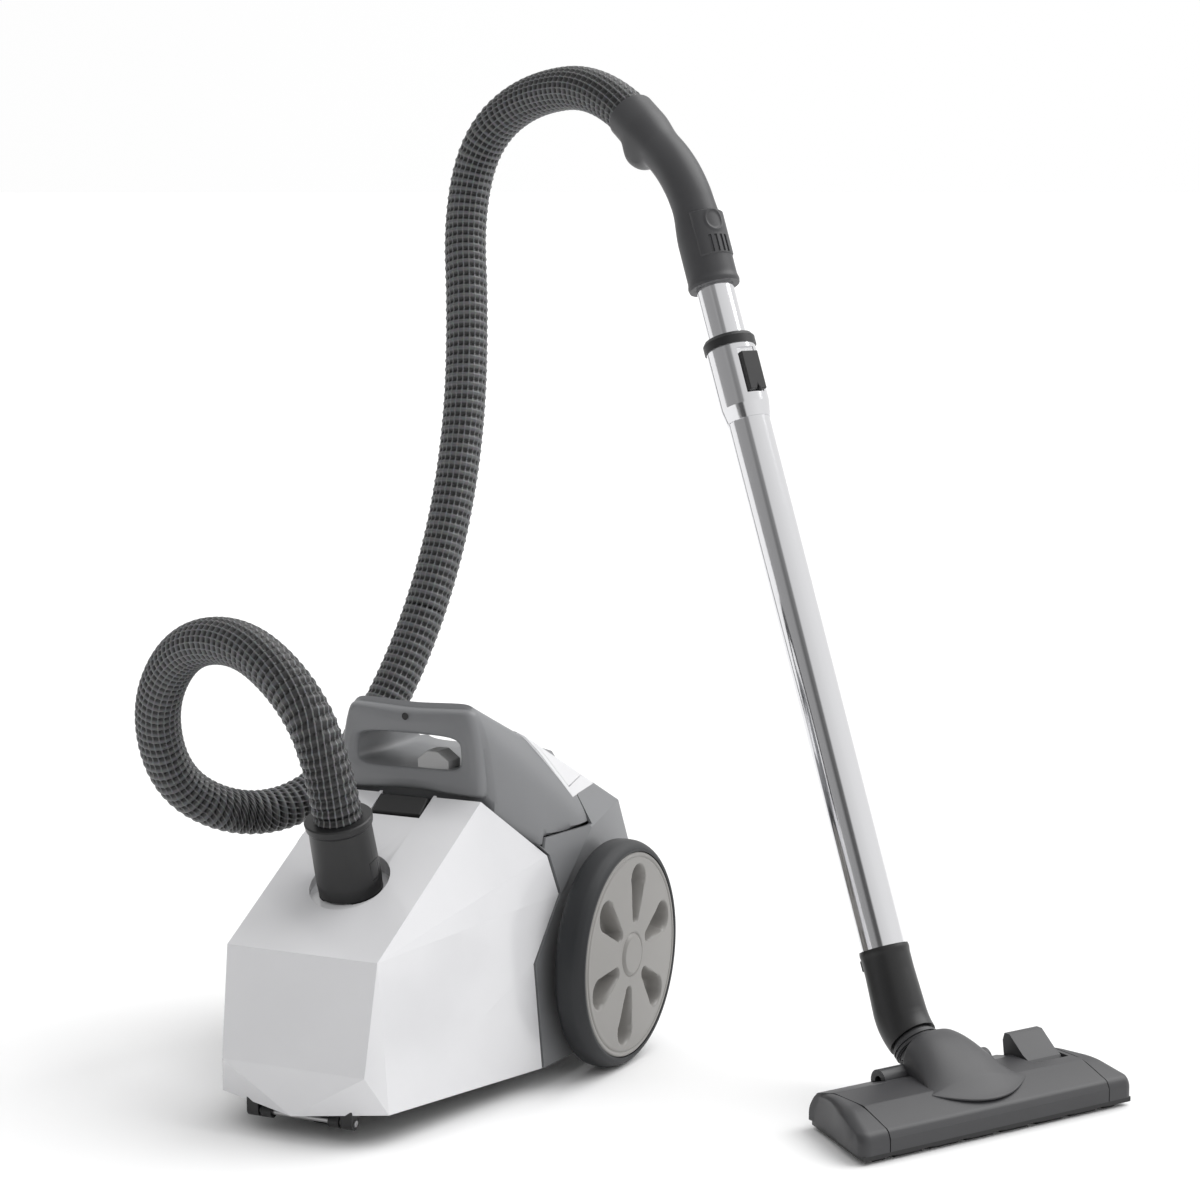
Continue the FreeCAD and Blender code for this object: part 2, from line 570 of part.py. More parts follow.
headInner = headInner.fuse(slabZ(headOutline(headWall), 0, 12))
humpPoints = pairs([(50, -24, 30), (40, 6, 52), (26, 24, 62), (22, 36, 64), (48, 38, 30), (30, 40, 60),
                    (56, 10, 30)])
humpInnerDepth = 2.2
humpOuter = hull(humpPoints)
slotHalfX = 19.0
neckSlot = block(-slotHalfX - 1, slotHalfX + 1, 6, 80, 10, 90)
hump = humpOuter.cut(inset(humpPoints, humpInnerDepth)).cut(headOuter)
hump = hump.cut(neckSlot.common(block(-80, 80, 0, 90, 0, 48)))
hump = hump.cut(block(-80, 80, 34, 60, 0, 90))
barrelEnd = 54.0       # the tilt barrel's end, from the head's middle
axleBosses = [rod(9, V(s * (slotHalfX + 1.4), neckY, neckZ), V(s * barrelEnd, neckY, neckZ)) for s in (-1, 1)]
shell = headOuter.cut(headInner).cut(neckSlot)
capSplit = fuse(block(halfL - capLength, 200, -100, 100, 0, 80),
                block(-200, -halfL + capLength, -100, 100, 0, 80))
caps = shell.common(capSplit)
shell = shell.cut(capSplit)
pivotLeft, pivotRight = V(-barrelEnd - 0.4, neckY, neckZ), V(barrelEnd + 0.4, neckY, neckZ)
cheeks = [block(min(s * (slotHalfX + 1), s * (slotHalfX + 5)), max(s * (slotHalfX + 1), s * (slotHalfX + 5)),
                2, neckY + 10, 15, neckZ + 9) for s in (-1, 1)]
shell = fuse(shell, *(axleBosses + cheeks))
shell = shell.cut(rod(4, V(-60, neckY, neckZ), V(60, neckY, neckZ)))
hump = hump.cut(fuse(shell, *cheeks)).cut(rod(9.4, pivotLeft, pivotRight))
pedalX0, pedalX1 = 70.0, 104.0
pedalPocket = block(pedalX0 - 1, pedalX1 + 1, -6, halfD + 2, 24, 60)
rockY, rockZ = 12.0, 28.0
shell = shell.cut(pedalPocket)
pocketFloor = block(pedalX0 - 3, pedalX1 + 3, -8, halfD - 10, 20, 22.4).common(headOuter)
pocketWalls = [block(pedalX0 - 3.4, pedalX0 - 1, -8, halfD - 10, 20, 40),
               block(pedalX1 + 1, pedalX1 + 3.4, -8, halfD - 10, 20, 40),
               block(pedalX0 - 3, pedalX1 + 3, -8.4, -6, 20, 40)]
pocketWalls = [w.common(headOuter) for w in pocketWalls]
shell = fuse(shell, pocketFloor, *pocketWalls)
shell = shell.cut(rod(2 + runFit, V(pedalX0 - 3.4, rockY, rockZ), V(pedalX1 + 3.4, rockY, rockZ)))
add("head_shell", atHead(shell))
add("head_end_caps", atHead(caps))
add("neck_cover", atHead(hump))

sole = slabZ(headOutline(1.2), 3, 7)
runners = [block(-halfL + 14, halfL - 14, -halfD + 6, -halfD + 10, 0, 7),
           block(-halfL + 34, halfL - 34, halfD - 12, halfD - 8, 0, 7)]
sole = fuse(sole, *runners)
throat = block(-38, 38, -halfD + 20, halfD - 26, -1, 9)
brushSlots = [block(-halfL + 20, halfL - 20, -halfD + 12, -halfD + 18, -1, 9),
              block(-halfL + 40, halfL - 40, halfD - 22, halfD - 16, -1, 9)]
for i in range(7):
    x = -halfL + 30 + i * (headLength - 60) / 6
    sole = sole.cut(block(x - 4, x + 4, -halfD, -halfD + 12, -1, 3.5))
sole = sole.cut(throat).cut(fuse(*brushSlots))
add("sole_plate", atHead(sole))
brush = [block(-halfL + 20 + slideFit, halfL - 20 - slideFit,
               -halfD + 12 + slideFit, -halfD + 18 - slideFit, 5.5, 13),
         block(-halfL + 40 + slideFit, halfL - 40 - slideFit,
               halfD - 22 + slideFit, halfD - 16 - slideFit, 5.5, 13)]
add("brush_strips", atHead(brush[0]), atHead(brush[1]))

rockerOutline = [(-5, 25), (2, 34), (8, 37), (24, 50), (30, 50), (32, 44), (30, 30), (16, 24.5), (4, 24.5)]
rocker = slabX([(y, z) for y, z in rockerOutline], pedalX0, pedalX1)
rocker = fuse(rocker, rod(2, V(pedalX0 - 3.4, rockY, rockZ), V(pedalX1 + 3.4, rockY, rockZ)))
add("head_pedal", atHead(rocker))

# neck: a barrel that tilts on its axle, then a swivel, then the elbow that holds the wand
lift = math.radians(neckLift)
neckDir = V(0, math.cos(lift), math.sin(lift))
pivot = V(0, neckY, neckZ)
barrelHalf = slotHalfX - 0.4
neckTube = fuse(rod(barrelR, pivot - ex * barrelHalf, pivot + ex * barrelHalf),
                rod(17, pivot, pivot + neckDir * 30))
swivelAt = pivot + neckDir * 30
neckBore = rod(13, pivot + neckDir * 6, pivot + neckDir * 60)
neckTube = neckTube.cut(neckBore).cut(rod(4 + runFit, pivot - ex * 30, pivot + ex * 30))
add("neck_axle", atHead(rod(4, pivot - ex * (slotHalfX + 9), pivot + ex * (slotHalfX + 9))))
ribs = [pipe(19.5, 17, pivot + neckDir * (21 + i * 3.4), pivot + neckDir * (22.8 + i * 3.4))
        for i in range(2)]
neckTube = fuse(neckTube, pipe(18.4, 17, pivot + neckDir * 20, pivot + neckDir * 28), *ribs)
add("neck", atHead(neckTube))

tilt = math.radians(wandTilt)
wandDir = V(0, math.sin(tilt), math.cos(tilt))
elbowStart = swivelAt + neckDir * 0.3
bendAngle = math.radians(90 - wandTilt - neckLift)
bendR = 46.0
side = V(0, -math.sin(lift), math.cos(lift))
bendCentre = elbowStart + neckDir * 4 + side * bendR
elbowEnd = bendCentre - (side * math.cos(bendAngle) - neckDir * math.sin(bendAngle)) * bendR


def ringFace(outer, inner, at, direction):
    """Flat ring, the cross section of a tube."""
    return Part.Face([Part.Wire(Part.makeCircle(outer, at, direction)),
                      Part.Wire(Part.makeCircle(inner, at, direction))])


cuffEnd = elbowEnd + wandDir * cuffLength
elbowR, elbowBore, seatStep = 20.0, 13.0, 10.0
elbowRing = ringFace(elbowR, elbowBore, elbowStart + neckDir * 4, neckDir)
elbow = fuse(pipe(elbowR, elbowBore, elbowStart, elbowStart + neckDir * 4),
             elbowRing.revolve(bendCentre, ex, math.degrees(bendAngle)),
             pipe(cuffR, elbowBore, elbowEnd, elbowEnd + wandDir * seatStep),
             pipe(cuffR, outerTubeR, elbowEnd + wandDir * seatStep, cuffEnd))
clipBack = V(0, math.cos(tilt), -math.sin(tilt))
clipAt = elbowEnd + wandDir * 26
clipFrame = FreeCAD.Rotation(V(1, 0, 0), clipBack, wandDir, "XYZ")


def onWand(shape, at):
    moved = shape.copy()
    moved.Placement = FreeCAD.Placement(at, clipFrame).multiply(moved.Placement)
    return moved


clipSlot = onWand(block(-6, 6, cuffR - 2.4, cuffR + 8, -20, 20), clipAt)
elbow = elbow.cut(clipSlot)
add("elbow_cuff", atHead(elbow))
clip = fuse(block(-5.5, 5.5, cuffR - 0.9, cuffR + 2.2, -19, 19), block(-5.5, 5.5, cuffR, cuffR + 5, 10, 19))
clip = filleted(clip, 1.0, lambda e: e.Length > 10.5 and e.Length < 11.5 and e.CenterOfMass.y > cuffR)
add("cuff_clip", atHead(onWand(clip, clipAt)))
print("head built")

# ---------------------------------------------------------------- wand and grip
tubeStart = elbowEnd + wandDir * seatStep
tubeEnd = cuffEnd + wandDir * tubeLength
add("outer_tube", atHead(pipe(outerTubeR, outerTubeR - tubeWall, tubeStart, tubeEnd + wandDir * 6)))
collarProfile = [(outerTubeR, 0), (outerTubeR + 0.8, 0), (collarR, 12), (collarR, collarLength),
                 (innerTubeR + 1.4, collarLength), (innerTubeR + 1.4, 6), (outerTubeR, 6)]
collarAt = tubeEnd
collar = turned(collarProfile, collarAt, wandDir)
latchWell = block(-8.5, 8.5, -collarR - 8, -innerTubeR - 2.4, collarLength - 43, collarLength - 4)
latchWell = onWand(latchWell, collarAt)
collar = collar.cut(latchWell)
add("tube_collar", atHead(collar))
ringBore = innerTubeR + slideFit / 2
ringProfile = [(ringBore, collarLength), (collarR + 1.2, collarLength), (collarR + 1.2, collarLength + 7),
               (collarR - 1, collarLength + 10), (ringBore, collarLength + 10)]
add("collar_ring", atHead(turned(ringProfile, collarAt, wandDir)))
button = block(-8.5 + slideFit, 8.5 - slideFit, -collarR - 3.2, -innerTubeR - 2.6,
               collarLength - 42, collarLength - 9)
vNotch = [(-5, collarLength - 50), (5, collarLength - 50), (0, collarLength - 38)]
button = button.cut(slabY(vNotch, -collarR - 9, -innerTubeR))
add("telescope_button", atHead(onWand(button, collarAt)))

gripStart = collarAt + wandDir * (collarLength + 10 + innerShown)
innerFrom = collarAt - wandDir * (telescopeTravel + 30)
innerTube = pipe(innerTubeR, innerTubeR - tubeWall, innerFrom, gripStart + wandDir * 24)
add("inner_tube", atHead(innerTube))

gripBend = math.radians(33)
gripBendR = 120.0
gripStraight = 62.0
gripFirst = gripStart + wandDir * gripStraight
backOfWand = V(0, math.cos(tilt), -math.sin(tilt))
gripCentre = gripFirst + backOfWand * gripBendR
gripOut = wandDir * math.cos(gripBend) + backOfWand * math.sin(gripBend)
gripSide = backOfWand * math.cos(gripBend) - wandDir * math.sin(gripBend)
gripSecond = gripCentre - gripSide * gripBendR
gripEnd = gripSecond + gripOut * 34


def bentBar(radius, start, length, end):
    """Round bar along the grip: straight, bend, then straight on to its end."""
    disc = Part.Face(Part.Wire(Part.makeCircle(radius, gripFirst, wandDir)))
    bend = disc.revolve(gripCentre, V(-1, 0, 0), math.degrees(gripBend))
    return fuse(rod(radius, start, gripFirst), bend, rod(radius, gripSecond, end))


gripBody = bentBar(gripR, gripStart, gripStraight, gripEnd)
socketMouth = gripSecond + gripOut * 60
gripBody = fuse(gripBody, rod(gripSocketR, gripStart, gripStart + wandDir * 50),
                rod(hoseSocketR, gripSecond + gripOut * 12, socketMouth))
lumpAt = gripSecond + gripOut * 30 + gripSide * 14
gripBody = fuse(gripBody, Part.makeSphere(16, lumpAt))
gripBody = gripBody.cut(bentBar(gripBore, gripStart + wandDir * 24, gripStraight, gripEnd))
gripBody = gripBody.cut(rod(innerTubeR, gripStart - wandDir, gripStart + wandDir * 24))
hoseEnd = socketMouth - gripOut * 16
gripBody = gripBody.cut(rod(hoseOd / 2, hoseEnd, socketMouth + gripOut))
gripBody = gripBody.cut(rod(gripBore, gripEnd - gripOut, socketMouth))
sliderFloor = gripSocketR - 1.9     # bottom of the shallow well the slider runs in
sliderFace = gripSocketR + 2.0
sliderHalf = 9.6
sliderWell = onWand(block(-sliderHalf - 0.4, sliderHalf + 0.4, -30, -sliderFloor, 20, 58), gripStart)
gripBody = gripBody.cut(sliderWell)
add("grip", atHead(gripBody))
slider = fuse(block(-sliderHalf, sliderHalf, -sliderFace, -sliderFloor - 0.2, 26, 52),
              rod(6.5, V(0, -sliderFace, 44), V(0, -sliderFace - 2.5, 44)))
slider = onWand(slider, gripStart)
add("suction_slider", atHead(slider))

# ---------------------------------------------------------------- hose
hoseRoute = [V(-34, -134, 334), V(-104, -98, 361), V(-184, -58, 345), V(-238, -22, 284),
             V(-248, 18, 212), V(-222, 72, 176), V(-192, 132, 176), V(-164, 190, 218), V(-144, 242, 296),
             V(-132, 286, 390), V(-131, 320, 490), V(-143, 350, 590), V(-166, 386, 678),
             V(-152, 396, 748), V(-92, 376, 786)]


def cordPath(points):
    """Straight runs joined by tangent arcs, each as large as its two runs allow."""
    edges, radii = [], []
    at = points[0]
    for before, corner, after in zip(points, points[1:], points[2:]):
        inward, outward = (corner - before), (after - corner)
        half = math.acos(max(-1, min(1, inward.normalize().dot(outward.normalize())))) / 2
        reach = 0.45 * min((corner - before).Length, (after - corner).Length)
        radii.append(reach / math.tan(half))
        first, last = corner - inward * reach, corner + outward * reach
        bisector = (outward - inward).normalize()
        middle = corner + bisector * (radii[-1] / math.cos(half) - radii[-1])
        edges.append(Part.LineSegment(at, first).toShape())
        edges.append(Part.Arc(first, middle, last).toShape())
        at = last
    edges.append(Part.LineSegment(at, points[-1]).toShape())
    return edges, radii


hoseIn = connectorBase + connectorAxis * (connectorTall - hoseDepthInCuff)
hoseOut = atHead(Part.Vertex(hoseEnd)).Point
hoseOutDir = atHead(Part.Vertex(hoseEnd + gripOut)).Point - hoseOut
route = [hoseIn, hoseIn + connectorAxis * 66] + hoseRoute + [hoseOut + hoseOutDir * 66, hoseOut]
pathEdges, hoseRadii = cordPath(route)
hosePath = Part.Wire(pathEdges)


def alongPath(radius):
    disc = Part.Wire(Part.makeCircle(radius, route[0], (route[1] - route[0])))
    return hosePath.makePipeShell([disc], True, False)


hose = alongPath(hoseOd / 2).cut(alongPath(hoseId / 2))
add("hose", hose)
section = math.pi * (hoseOd ** 2 - hoseId ** 2) / 4
print("hose radii", [round(r) for r in hoseRadii])
print("hose length", round(hosePath.Length), "volume over section x length",
      round(hose.Volume / section / hosePath.Length, 4))

# ---------------------------------------------------------------- placing and writing
box = Part.makeCompound([s for n, s in nodes.items() if n != "hose"]).BoundBox
shift = V(-box.Center.x, -box.Center.y, -box.ZMin)
os.makedirs("parts", exist_ok=True)
for name, shape in nodes.items():
    placed = shape.copy()
    placed.translate(shift)
    placed.exportStep("parts/" + name + ".step")
    if not shape.isValid() or len(shape.Solids) != 1:
        print("note", name, [round(s.Volume / 1000, 2) for s in shape.Solids], shape.isValid())
print(len(nodes), "nodes written, shift", [round(v, 2) for v in shift])
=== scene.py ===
import json
import math
import bmesh
import bpy
import numpy as np
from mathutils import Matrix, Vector


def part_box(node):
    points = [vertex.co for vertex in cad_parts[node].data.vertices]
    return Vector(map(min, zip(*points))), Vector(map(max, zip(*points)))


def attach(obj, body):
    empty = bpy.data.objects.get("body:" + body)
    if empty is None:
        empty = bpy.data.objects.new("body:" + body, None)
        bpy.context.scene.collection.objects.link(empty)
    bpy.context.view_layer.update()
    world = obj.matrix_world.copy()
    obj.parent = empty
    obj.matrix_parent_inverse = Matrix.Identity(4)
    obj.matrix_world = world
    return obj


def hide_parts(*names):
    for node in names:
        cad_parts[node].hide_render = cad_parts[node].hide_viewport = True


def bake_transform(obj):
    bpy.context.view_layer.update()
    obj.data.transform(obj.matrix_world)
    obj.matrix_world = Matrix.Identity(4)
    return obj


# Canister vacuum cleaner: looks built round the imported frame. Lengths in the dictionaries are millimetres in
# the canister's own frame (x = 0 its centre plane, -y its front, z = 0 the floor) unless a note says otherwise.

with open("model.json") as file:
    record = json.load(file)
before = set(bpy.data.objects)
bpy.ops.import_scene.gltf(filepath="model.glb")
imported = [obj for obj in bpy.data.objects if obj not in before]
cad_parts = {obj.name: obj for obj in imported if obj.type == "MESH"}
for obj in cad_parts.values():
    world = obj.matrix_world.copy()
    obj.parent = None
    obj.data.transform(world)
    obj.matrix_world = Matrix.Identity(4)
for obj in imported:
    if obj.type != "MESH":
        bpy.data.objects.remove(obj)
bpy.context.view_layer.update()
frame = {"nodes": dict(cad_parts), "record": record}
nodes = frame["nodes"]
mm = 0.001

leftLow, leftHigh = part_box("left_tyre")
rightLow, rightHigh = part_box("right_tyre")
axleBack = 92.0  # the wheel axle lies this far behind the canister's own origin
shift = np.array([(leftLow.x + rightHigh.x) / 2, (leftLow.y + leftHigh.y) / 2 - axleBack * mm, 0.0])


def place(points):
    # canister frame in millimetres -> row frame in metres
    return np.asarray(points, float) * mm + shift


headFrame = {"at": (432.0, 73.0, 0.0), "turn": 60.4}  # its middle, and its turn about Z in degrees


def fromHead(points):
    # floor head frame (front -y) in millimetres -> row frame in metres: a turn about Z, then a shift
    turn = math.radians(headFrame["turn"])
    points = np.asarray(points, float)
    x = points[..., 0] * math.cos(turn) - points[..., 1] * math.sin(turn)
    y = points[..., 0] * math.sin(turn) + points[..., 1] * math.cos(turn)
    return place(np.stack([x, y, points[..., 2]], -1) + np.array(headFrame["at"]))


cameraSet = {"from": (1207.0, -2147.0, 739.0), "azimuth": 26.0, "down": 8.2, "lens": 94.5}


def setCamera(values):
    data = bpy.data.cameras.new("camera")
    data.lens, data.sensor_width = values["lens"], 36.0
    data.clip_end = 50.0
    eye = bpy.data.objects.new("camera", data)
    bpy.context.scene.collection.objects.link(eye)
    az, down = math.radians(values["azimuth"]), math.radians(values["down"])
    forward = Vector((-math.sin(az) * math.cos(down), math.cos(az) * math.cos(down), -math.sin(down)))
    eye.location = Vector(place(values["from"]))
    eye.rotation_mode = "QUATERNION"
    eye.rotation_quaternion = forward.to_track_quat("-Z", "Y")
    bpy.context.scene.camera = eye


setCamera(cameraSet)
print("camera set")


def linear(code):
    # sRGB hex colour to linear RGBA
    parts = [int(code[i:i + 2], 16) / 255 for i in (1, 3, 5)]
    return tuple(c / 12.92 if c <= 0.04045 else ((c + 0.055) / 1.055) ** 2.4 for c in parts) + (1.0,)


def addNode(tree, kind, inputs=None, **settings):
    # adds a node with its settings; an input is a value or another node's output
    made = tree.nodes.new("ShaderNode" + kind)
    for key, value in settings.items():
        setattr(made, key, value)
    for key, value in (inputs or {}).items():
        if isinstance(value, bpy.types.NodeSocket):
            tree.links.new(value, made.inputs[key])
        else:
            made.inputs[key].default_value = value
    return made


def startMaterial(name, constants):
    # a new material whose Principled sockets hold the constants
    material = bpy.data.materials.new(name)
    material.use_nodes = True
    tree = material.node_tree
    tree.nodes.clear()
    shader = addNode(tree, "BsdfPrincipled", constants)
    out = addNode(tree, "OutputMaterial")
    tree.links.new(shader.outputs["BSDF"], out.inputs["Surface"])
    return material, tree, shader


def mouldedPlastic(name, colour, roughness, grain, depth, spread=0.03, ior=1.5, coat=0.0, mottle=45.0):
    # colour drifts by spread over mottle mm; the mould's surface grain is grain mm wide and depth mm deep
    material, tree, shader = startMaterial(name, {"IOR": ior, "Coat Weight": coat, "Coat Roughness": 0.08})
    where = addNode(tree, "TexCoord").outputs["Object"]
    wide = addNode(tree, "TexNoise", {"Vector": where, "Scale": 1000 / mottle, "Detail": 3.0})
    base = np.array(linear(colour))
    ramp = addNode(tree, "ValToRGB", {"Fac": wide.outputs["Fac"]})
    ramp.color_ramp.elements[0].position, ramp.color_ramp.elements[1].position = 0.3, 0.7
    ramp.color_ramp.elements[0].color = tuple(np.clip(base * (1 - spread), 0, 1)[:3]) + (1,)
    ramp.color_ramp.elements[1].color = tuple(np.clip(base * (1 + spread), 0, 1)[:3]) + (1,)
    tree.links.new(ramp.outputs["Color"], shader.inputs["Base Color"])
    fine = addNode(tree, "TexNoise", {"Vector": where, "Scale": 1000 / grain, "Detail": 2.0})
    rough = addNode(tree, "MapRange", {"Value": wide.outputs["Fac"], "To Min": roughness * 0.88,
                                       "To Max": roughness * 1.12})
    tree.links.new(rough.outputs["Result"], shader.inputs["Roughness"])
    bump = addNode(tree, "Bump", {"Height": fine.outputs["Fac"], "Distance": depth * mm, "Strength": 1.0})
    tree.links.new(bump.outputs["Normal"], shader.inputs["Normal"])
    return material


def polishedMetal(name, colour, roughness, streak, depth):
    # bright metal with faint drawing marks: noise streak mm wide, stretched along Z
    material, tree, shader = startMaterial(name, {"Base Color": linear(colour), "Metallic": 1.0})
    where = addNode(tree, "TexCoord").outputs["Object"]
    turned = addNode(tree, "Mapping", {"Vector": where, "Scale": (1.0, 1.0, 0.04)})
    marks = addNode(tree, "TexNoise", {"Vector": turned.outputs["Vector"], "Scale": 1000 / streak,
                                       "Detail": 3.0})
    rough = addNode(tree, "MapRange", {"Value": marks.outputs["Fac"], "To Min": roughness * 0.6,
                                       "To Max": roughness * 1.5})
    tree.links.new(rough.outputs["Result"], shader.inputs["Roughness"])
    bump = addNode(tree, "Bump", {"Height": marks.outputs["Fac"], "Distance": depth * mm, "Strength": 1.0})
    tree.links.new(bump.outputs["Normal"], shader.inputs["Normal"])
    return material


def fibreCloth(name, dark, light, thread, depth, roughness=0.95):
    # felted fibre: two noises, thread mm wide, one across the other
    material, tree, shader = startMaterial(name, {"Roughness": roughness, "Sheen Weight": 0.25})
    where = addNode(tree, "TexCoord").outputs["Object"]
    fibre = addNode(tree, "TexNoise", {"Vector": where, "Scale": 1000 / thread, "Detail": 4.0,
                                       "Distortion": 0.8})
    ramp = addNode(tree, "ValToRGB", {"Fac": fibre.outputs["Fac"]})
    ramp.color_ramp.elements[0].position, ramp.color_ramp.elements[1].position = 0.35, 0.65
    ramp.color_ramp.elements[0].color, ramp.color_ramp.elements[1].color = linear(dark), linear(light)
    tree.links.new(ramp.outputs["Color"], shader.inputs["Base Color"])
    bump = addNode(tree, "Bump", {"Height": fibre.outputs["Fac"], "Distance": depth * mm, "Strength": 1.0})
    tree.links.new(bump.outputs["Normal"], shader.inputs["Normal"])
    return material


hoseSet = {
    "route": [  # metres, row frame: the route's chosen points
        (-0.197, -0.1796, 0.2231), (-0.197, -0.1989, 0.2862), (-0.231, -0.1907, 0.334),
        (-0.301, -0.1547, 0.361), (-0.381, -0.1147, 0.345), (-0.435, -0.0787, 0.284),
        (-0.445, -0.0387, 0.212), (-0.419, 0.0153, 0.176), (-0.389, 0.0753, 0.176), (-0.361, 0.1333, 0.218),
        (-0.341, 0.1853, 0.296), (-0.329, 0.2293, 0.39), (-0.328, 0.2633, 0.49), (-0.34, 0.2933, 0.59),
        (-0.363, 0.3293, 0.678), (-0.349, 0.3393, 0.748), (-0.289, 0.3193, 0.786), (-0.1864, 0.2556, 0.7918),
        (-0.1382, 0.2283, 0.7559)],
    "outer": 19.0, "valley": 16.2, "pitch": 8.0,  # radii at a rib's crown and between ribs, and rib to rib
    "lightSide": 0.25, "perRib": 8, "threads": 22, "perThread": 3, "threadR": 18.3, "threadRise": 0.12,
    # each stretch: name, end along the hose in mm, two bodies, and where the bend between them starts and ends
    "stretches": [
        ("hose_front", 304.0, "lid", "root", (-34, -134, 334), (-172, -64, 348)),
        ("hose_loop", 560.0, "root", "neck", (-240, 0, 230), (-230, 62, 180)),
        ("hose_back", 800.0, "neck", "wand", (-192, 128, 176), (-152, 218, 260)),
        ("hose_rise", None, "wand", "handle", (-135, 265, 350), (-160, 385, 690)),
    ],
}


def hosePlastic():
    # corrugated polyethylene with a drawn-on net: near black in the grooves between ribs as painted shade, grey
    # crowns on one side as a painted highlight, pale long threads.
    # The piece's UV map holds the turn round the hose (0 to 1) and the distance along it in ribs.
    material, tree, shader = startMaterial("corrugatedPolyethylene", {"IOR": 1.5, "Specular IOR Level": 0.55})
    uv = addNode(tree, "UVMap", uv_map="UVMap").outputs["UV"]
    split = addNode(tree, "SeparateXYZ", {"Vector": uv})
    rib = addNode(tree, "Math", {0: split.outputs["Y"], 1: 2 * math.pi}, operation="MULTIPLY")
    ribWave = addNode(tree, "Math", {0: rib.outputs[0]}, operation="COSINE")
    crown = addNode(tree, "MapRange", {"Value": ribWave.outputs[0], "From Min": -0.35, "From Max": 0.75})
    turn = addNode(tree, "Math", {0: split.outputs["X"], 1: 2 * math.pi * hoseSet["threads"]},
                   operation="MULTIPLY")
    turnWave = addNode(tree, "Math", {0: turn.outputs[0]}, operation="COSINE")
    thread = addNode(tree, "MapRange", {"Value": turnWave.outputs[0], "From Min": 0.55, "From Max": 0.95})
    where = addNode(tree, "TexCoord").outputs["Object"]
    dust = addNode(tree, "TexNoise", {"Vector": where, "Scale": 380.0, "Detail": 3.0})
    # painted highlight: the crowns on one side of the hose are painted grey as if lit, the other side shows the
    # threads over black
    side = addNode(tree, "Math", {0: split.outputs["X"], 1: hoseSet["lightSide"]}, operation="SUBTRACT")
    sideTurn = addNode(tree, "Math", {0: side.outputs[0], 1: 2 * math.pi}, operation="MULTIPLY")
    sideWave = addNode(tree, "Math", {0: sideTurn.outputs[0]}, operation="COSINE")
    paintedLitSide = addNode(tree, "MapRange", {"Value": sideWave.outputs[0], "From Min": -0.35, "From Max": 0.45})
    # crown colour: near black on the shaded side, grey as a painted highlight on the lit side
    crownPaintedHighlight = addNode(tree, "Mix", data_type="RGBA")
    tree.links.new(paintedLitSide.outputs["Result"], crownPaintedHighlight.inputs[0])
    crownPaintedHighlight.inputs[6].default_value = linear("#1b1b1d")
    crownPaintedHighlight.inputs[7].default_value = linear("#5d5e60")
    # painted shade: the grooves between ribs go near black, the crowns take the crown colour
    crownShade = addNode(tree, "Mix", data_type="RGBA")
    tree.links.new(crown.outputs["Result"], crownShade.inputs[0])
    crownShade.inputs[6].default_value = linear("#040405")
    tree.links.new(crownPaintedHighlight.outputs[2], crownShade.inputs[7])
    threaded = addNode(tree, "Mix", data_type="RGBA")
    tree.links.new(thread.outputs["Result"], threaded.inputs[0])
    tree.links.new(crownShade.outputs[2], threaded.inputs[6])
    threaded.inputs[7].default_value = linear("#6e6f71")
    dusted = addNode(tree, "Mix", data_type="RGBA", blend_type="MULTIPLY")
    dusted.inputs[0].default_value = 0.5
    tree.links.new(threaded.outputs[2], dusted.inputs[6])
    tree.links.new(dust.outputs["Color"], dusted.inputs[7])
    tree.links.new(dusted.outputs[2], shader.inputs["Base Color"])
    rough = addNode(tree, "MapRange", {"Value": dust.outputs["Fac"], "To Min": 0.34, "To Max": 0.52})
    tree.links.new(rough.outputs["Result"], shader.inputs["Roughness"])
    bump = addNode(tree, "Bump", {"Height": dust.outputs["Fac"], "Distance": 0.12 * mm, "Strength": 0.6})
    tree.links.new(bump.outputs["Normal"], shader.inputs["Normal"])
    return material


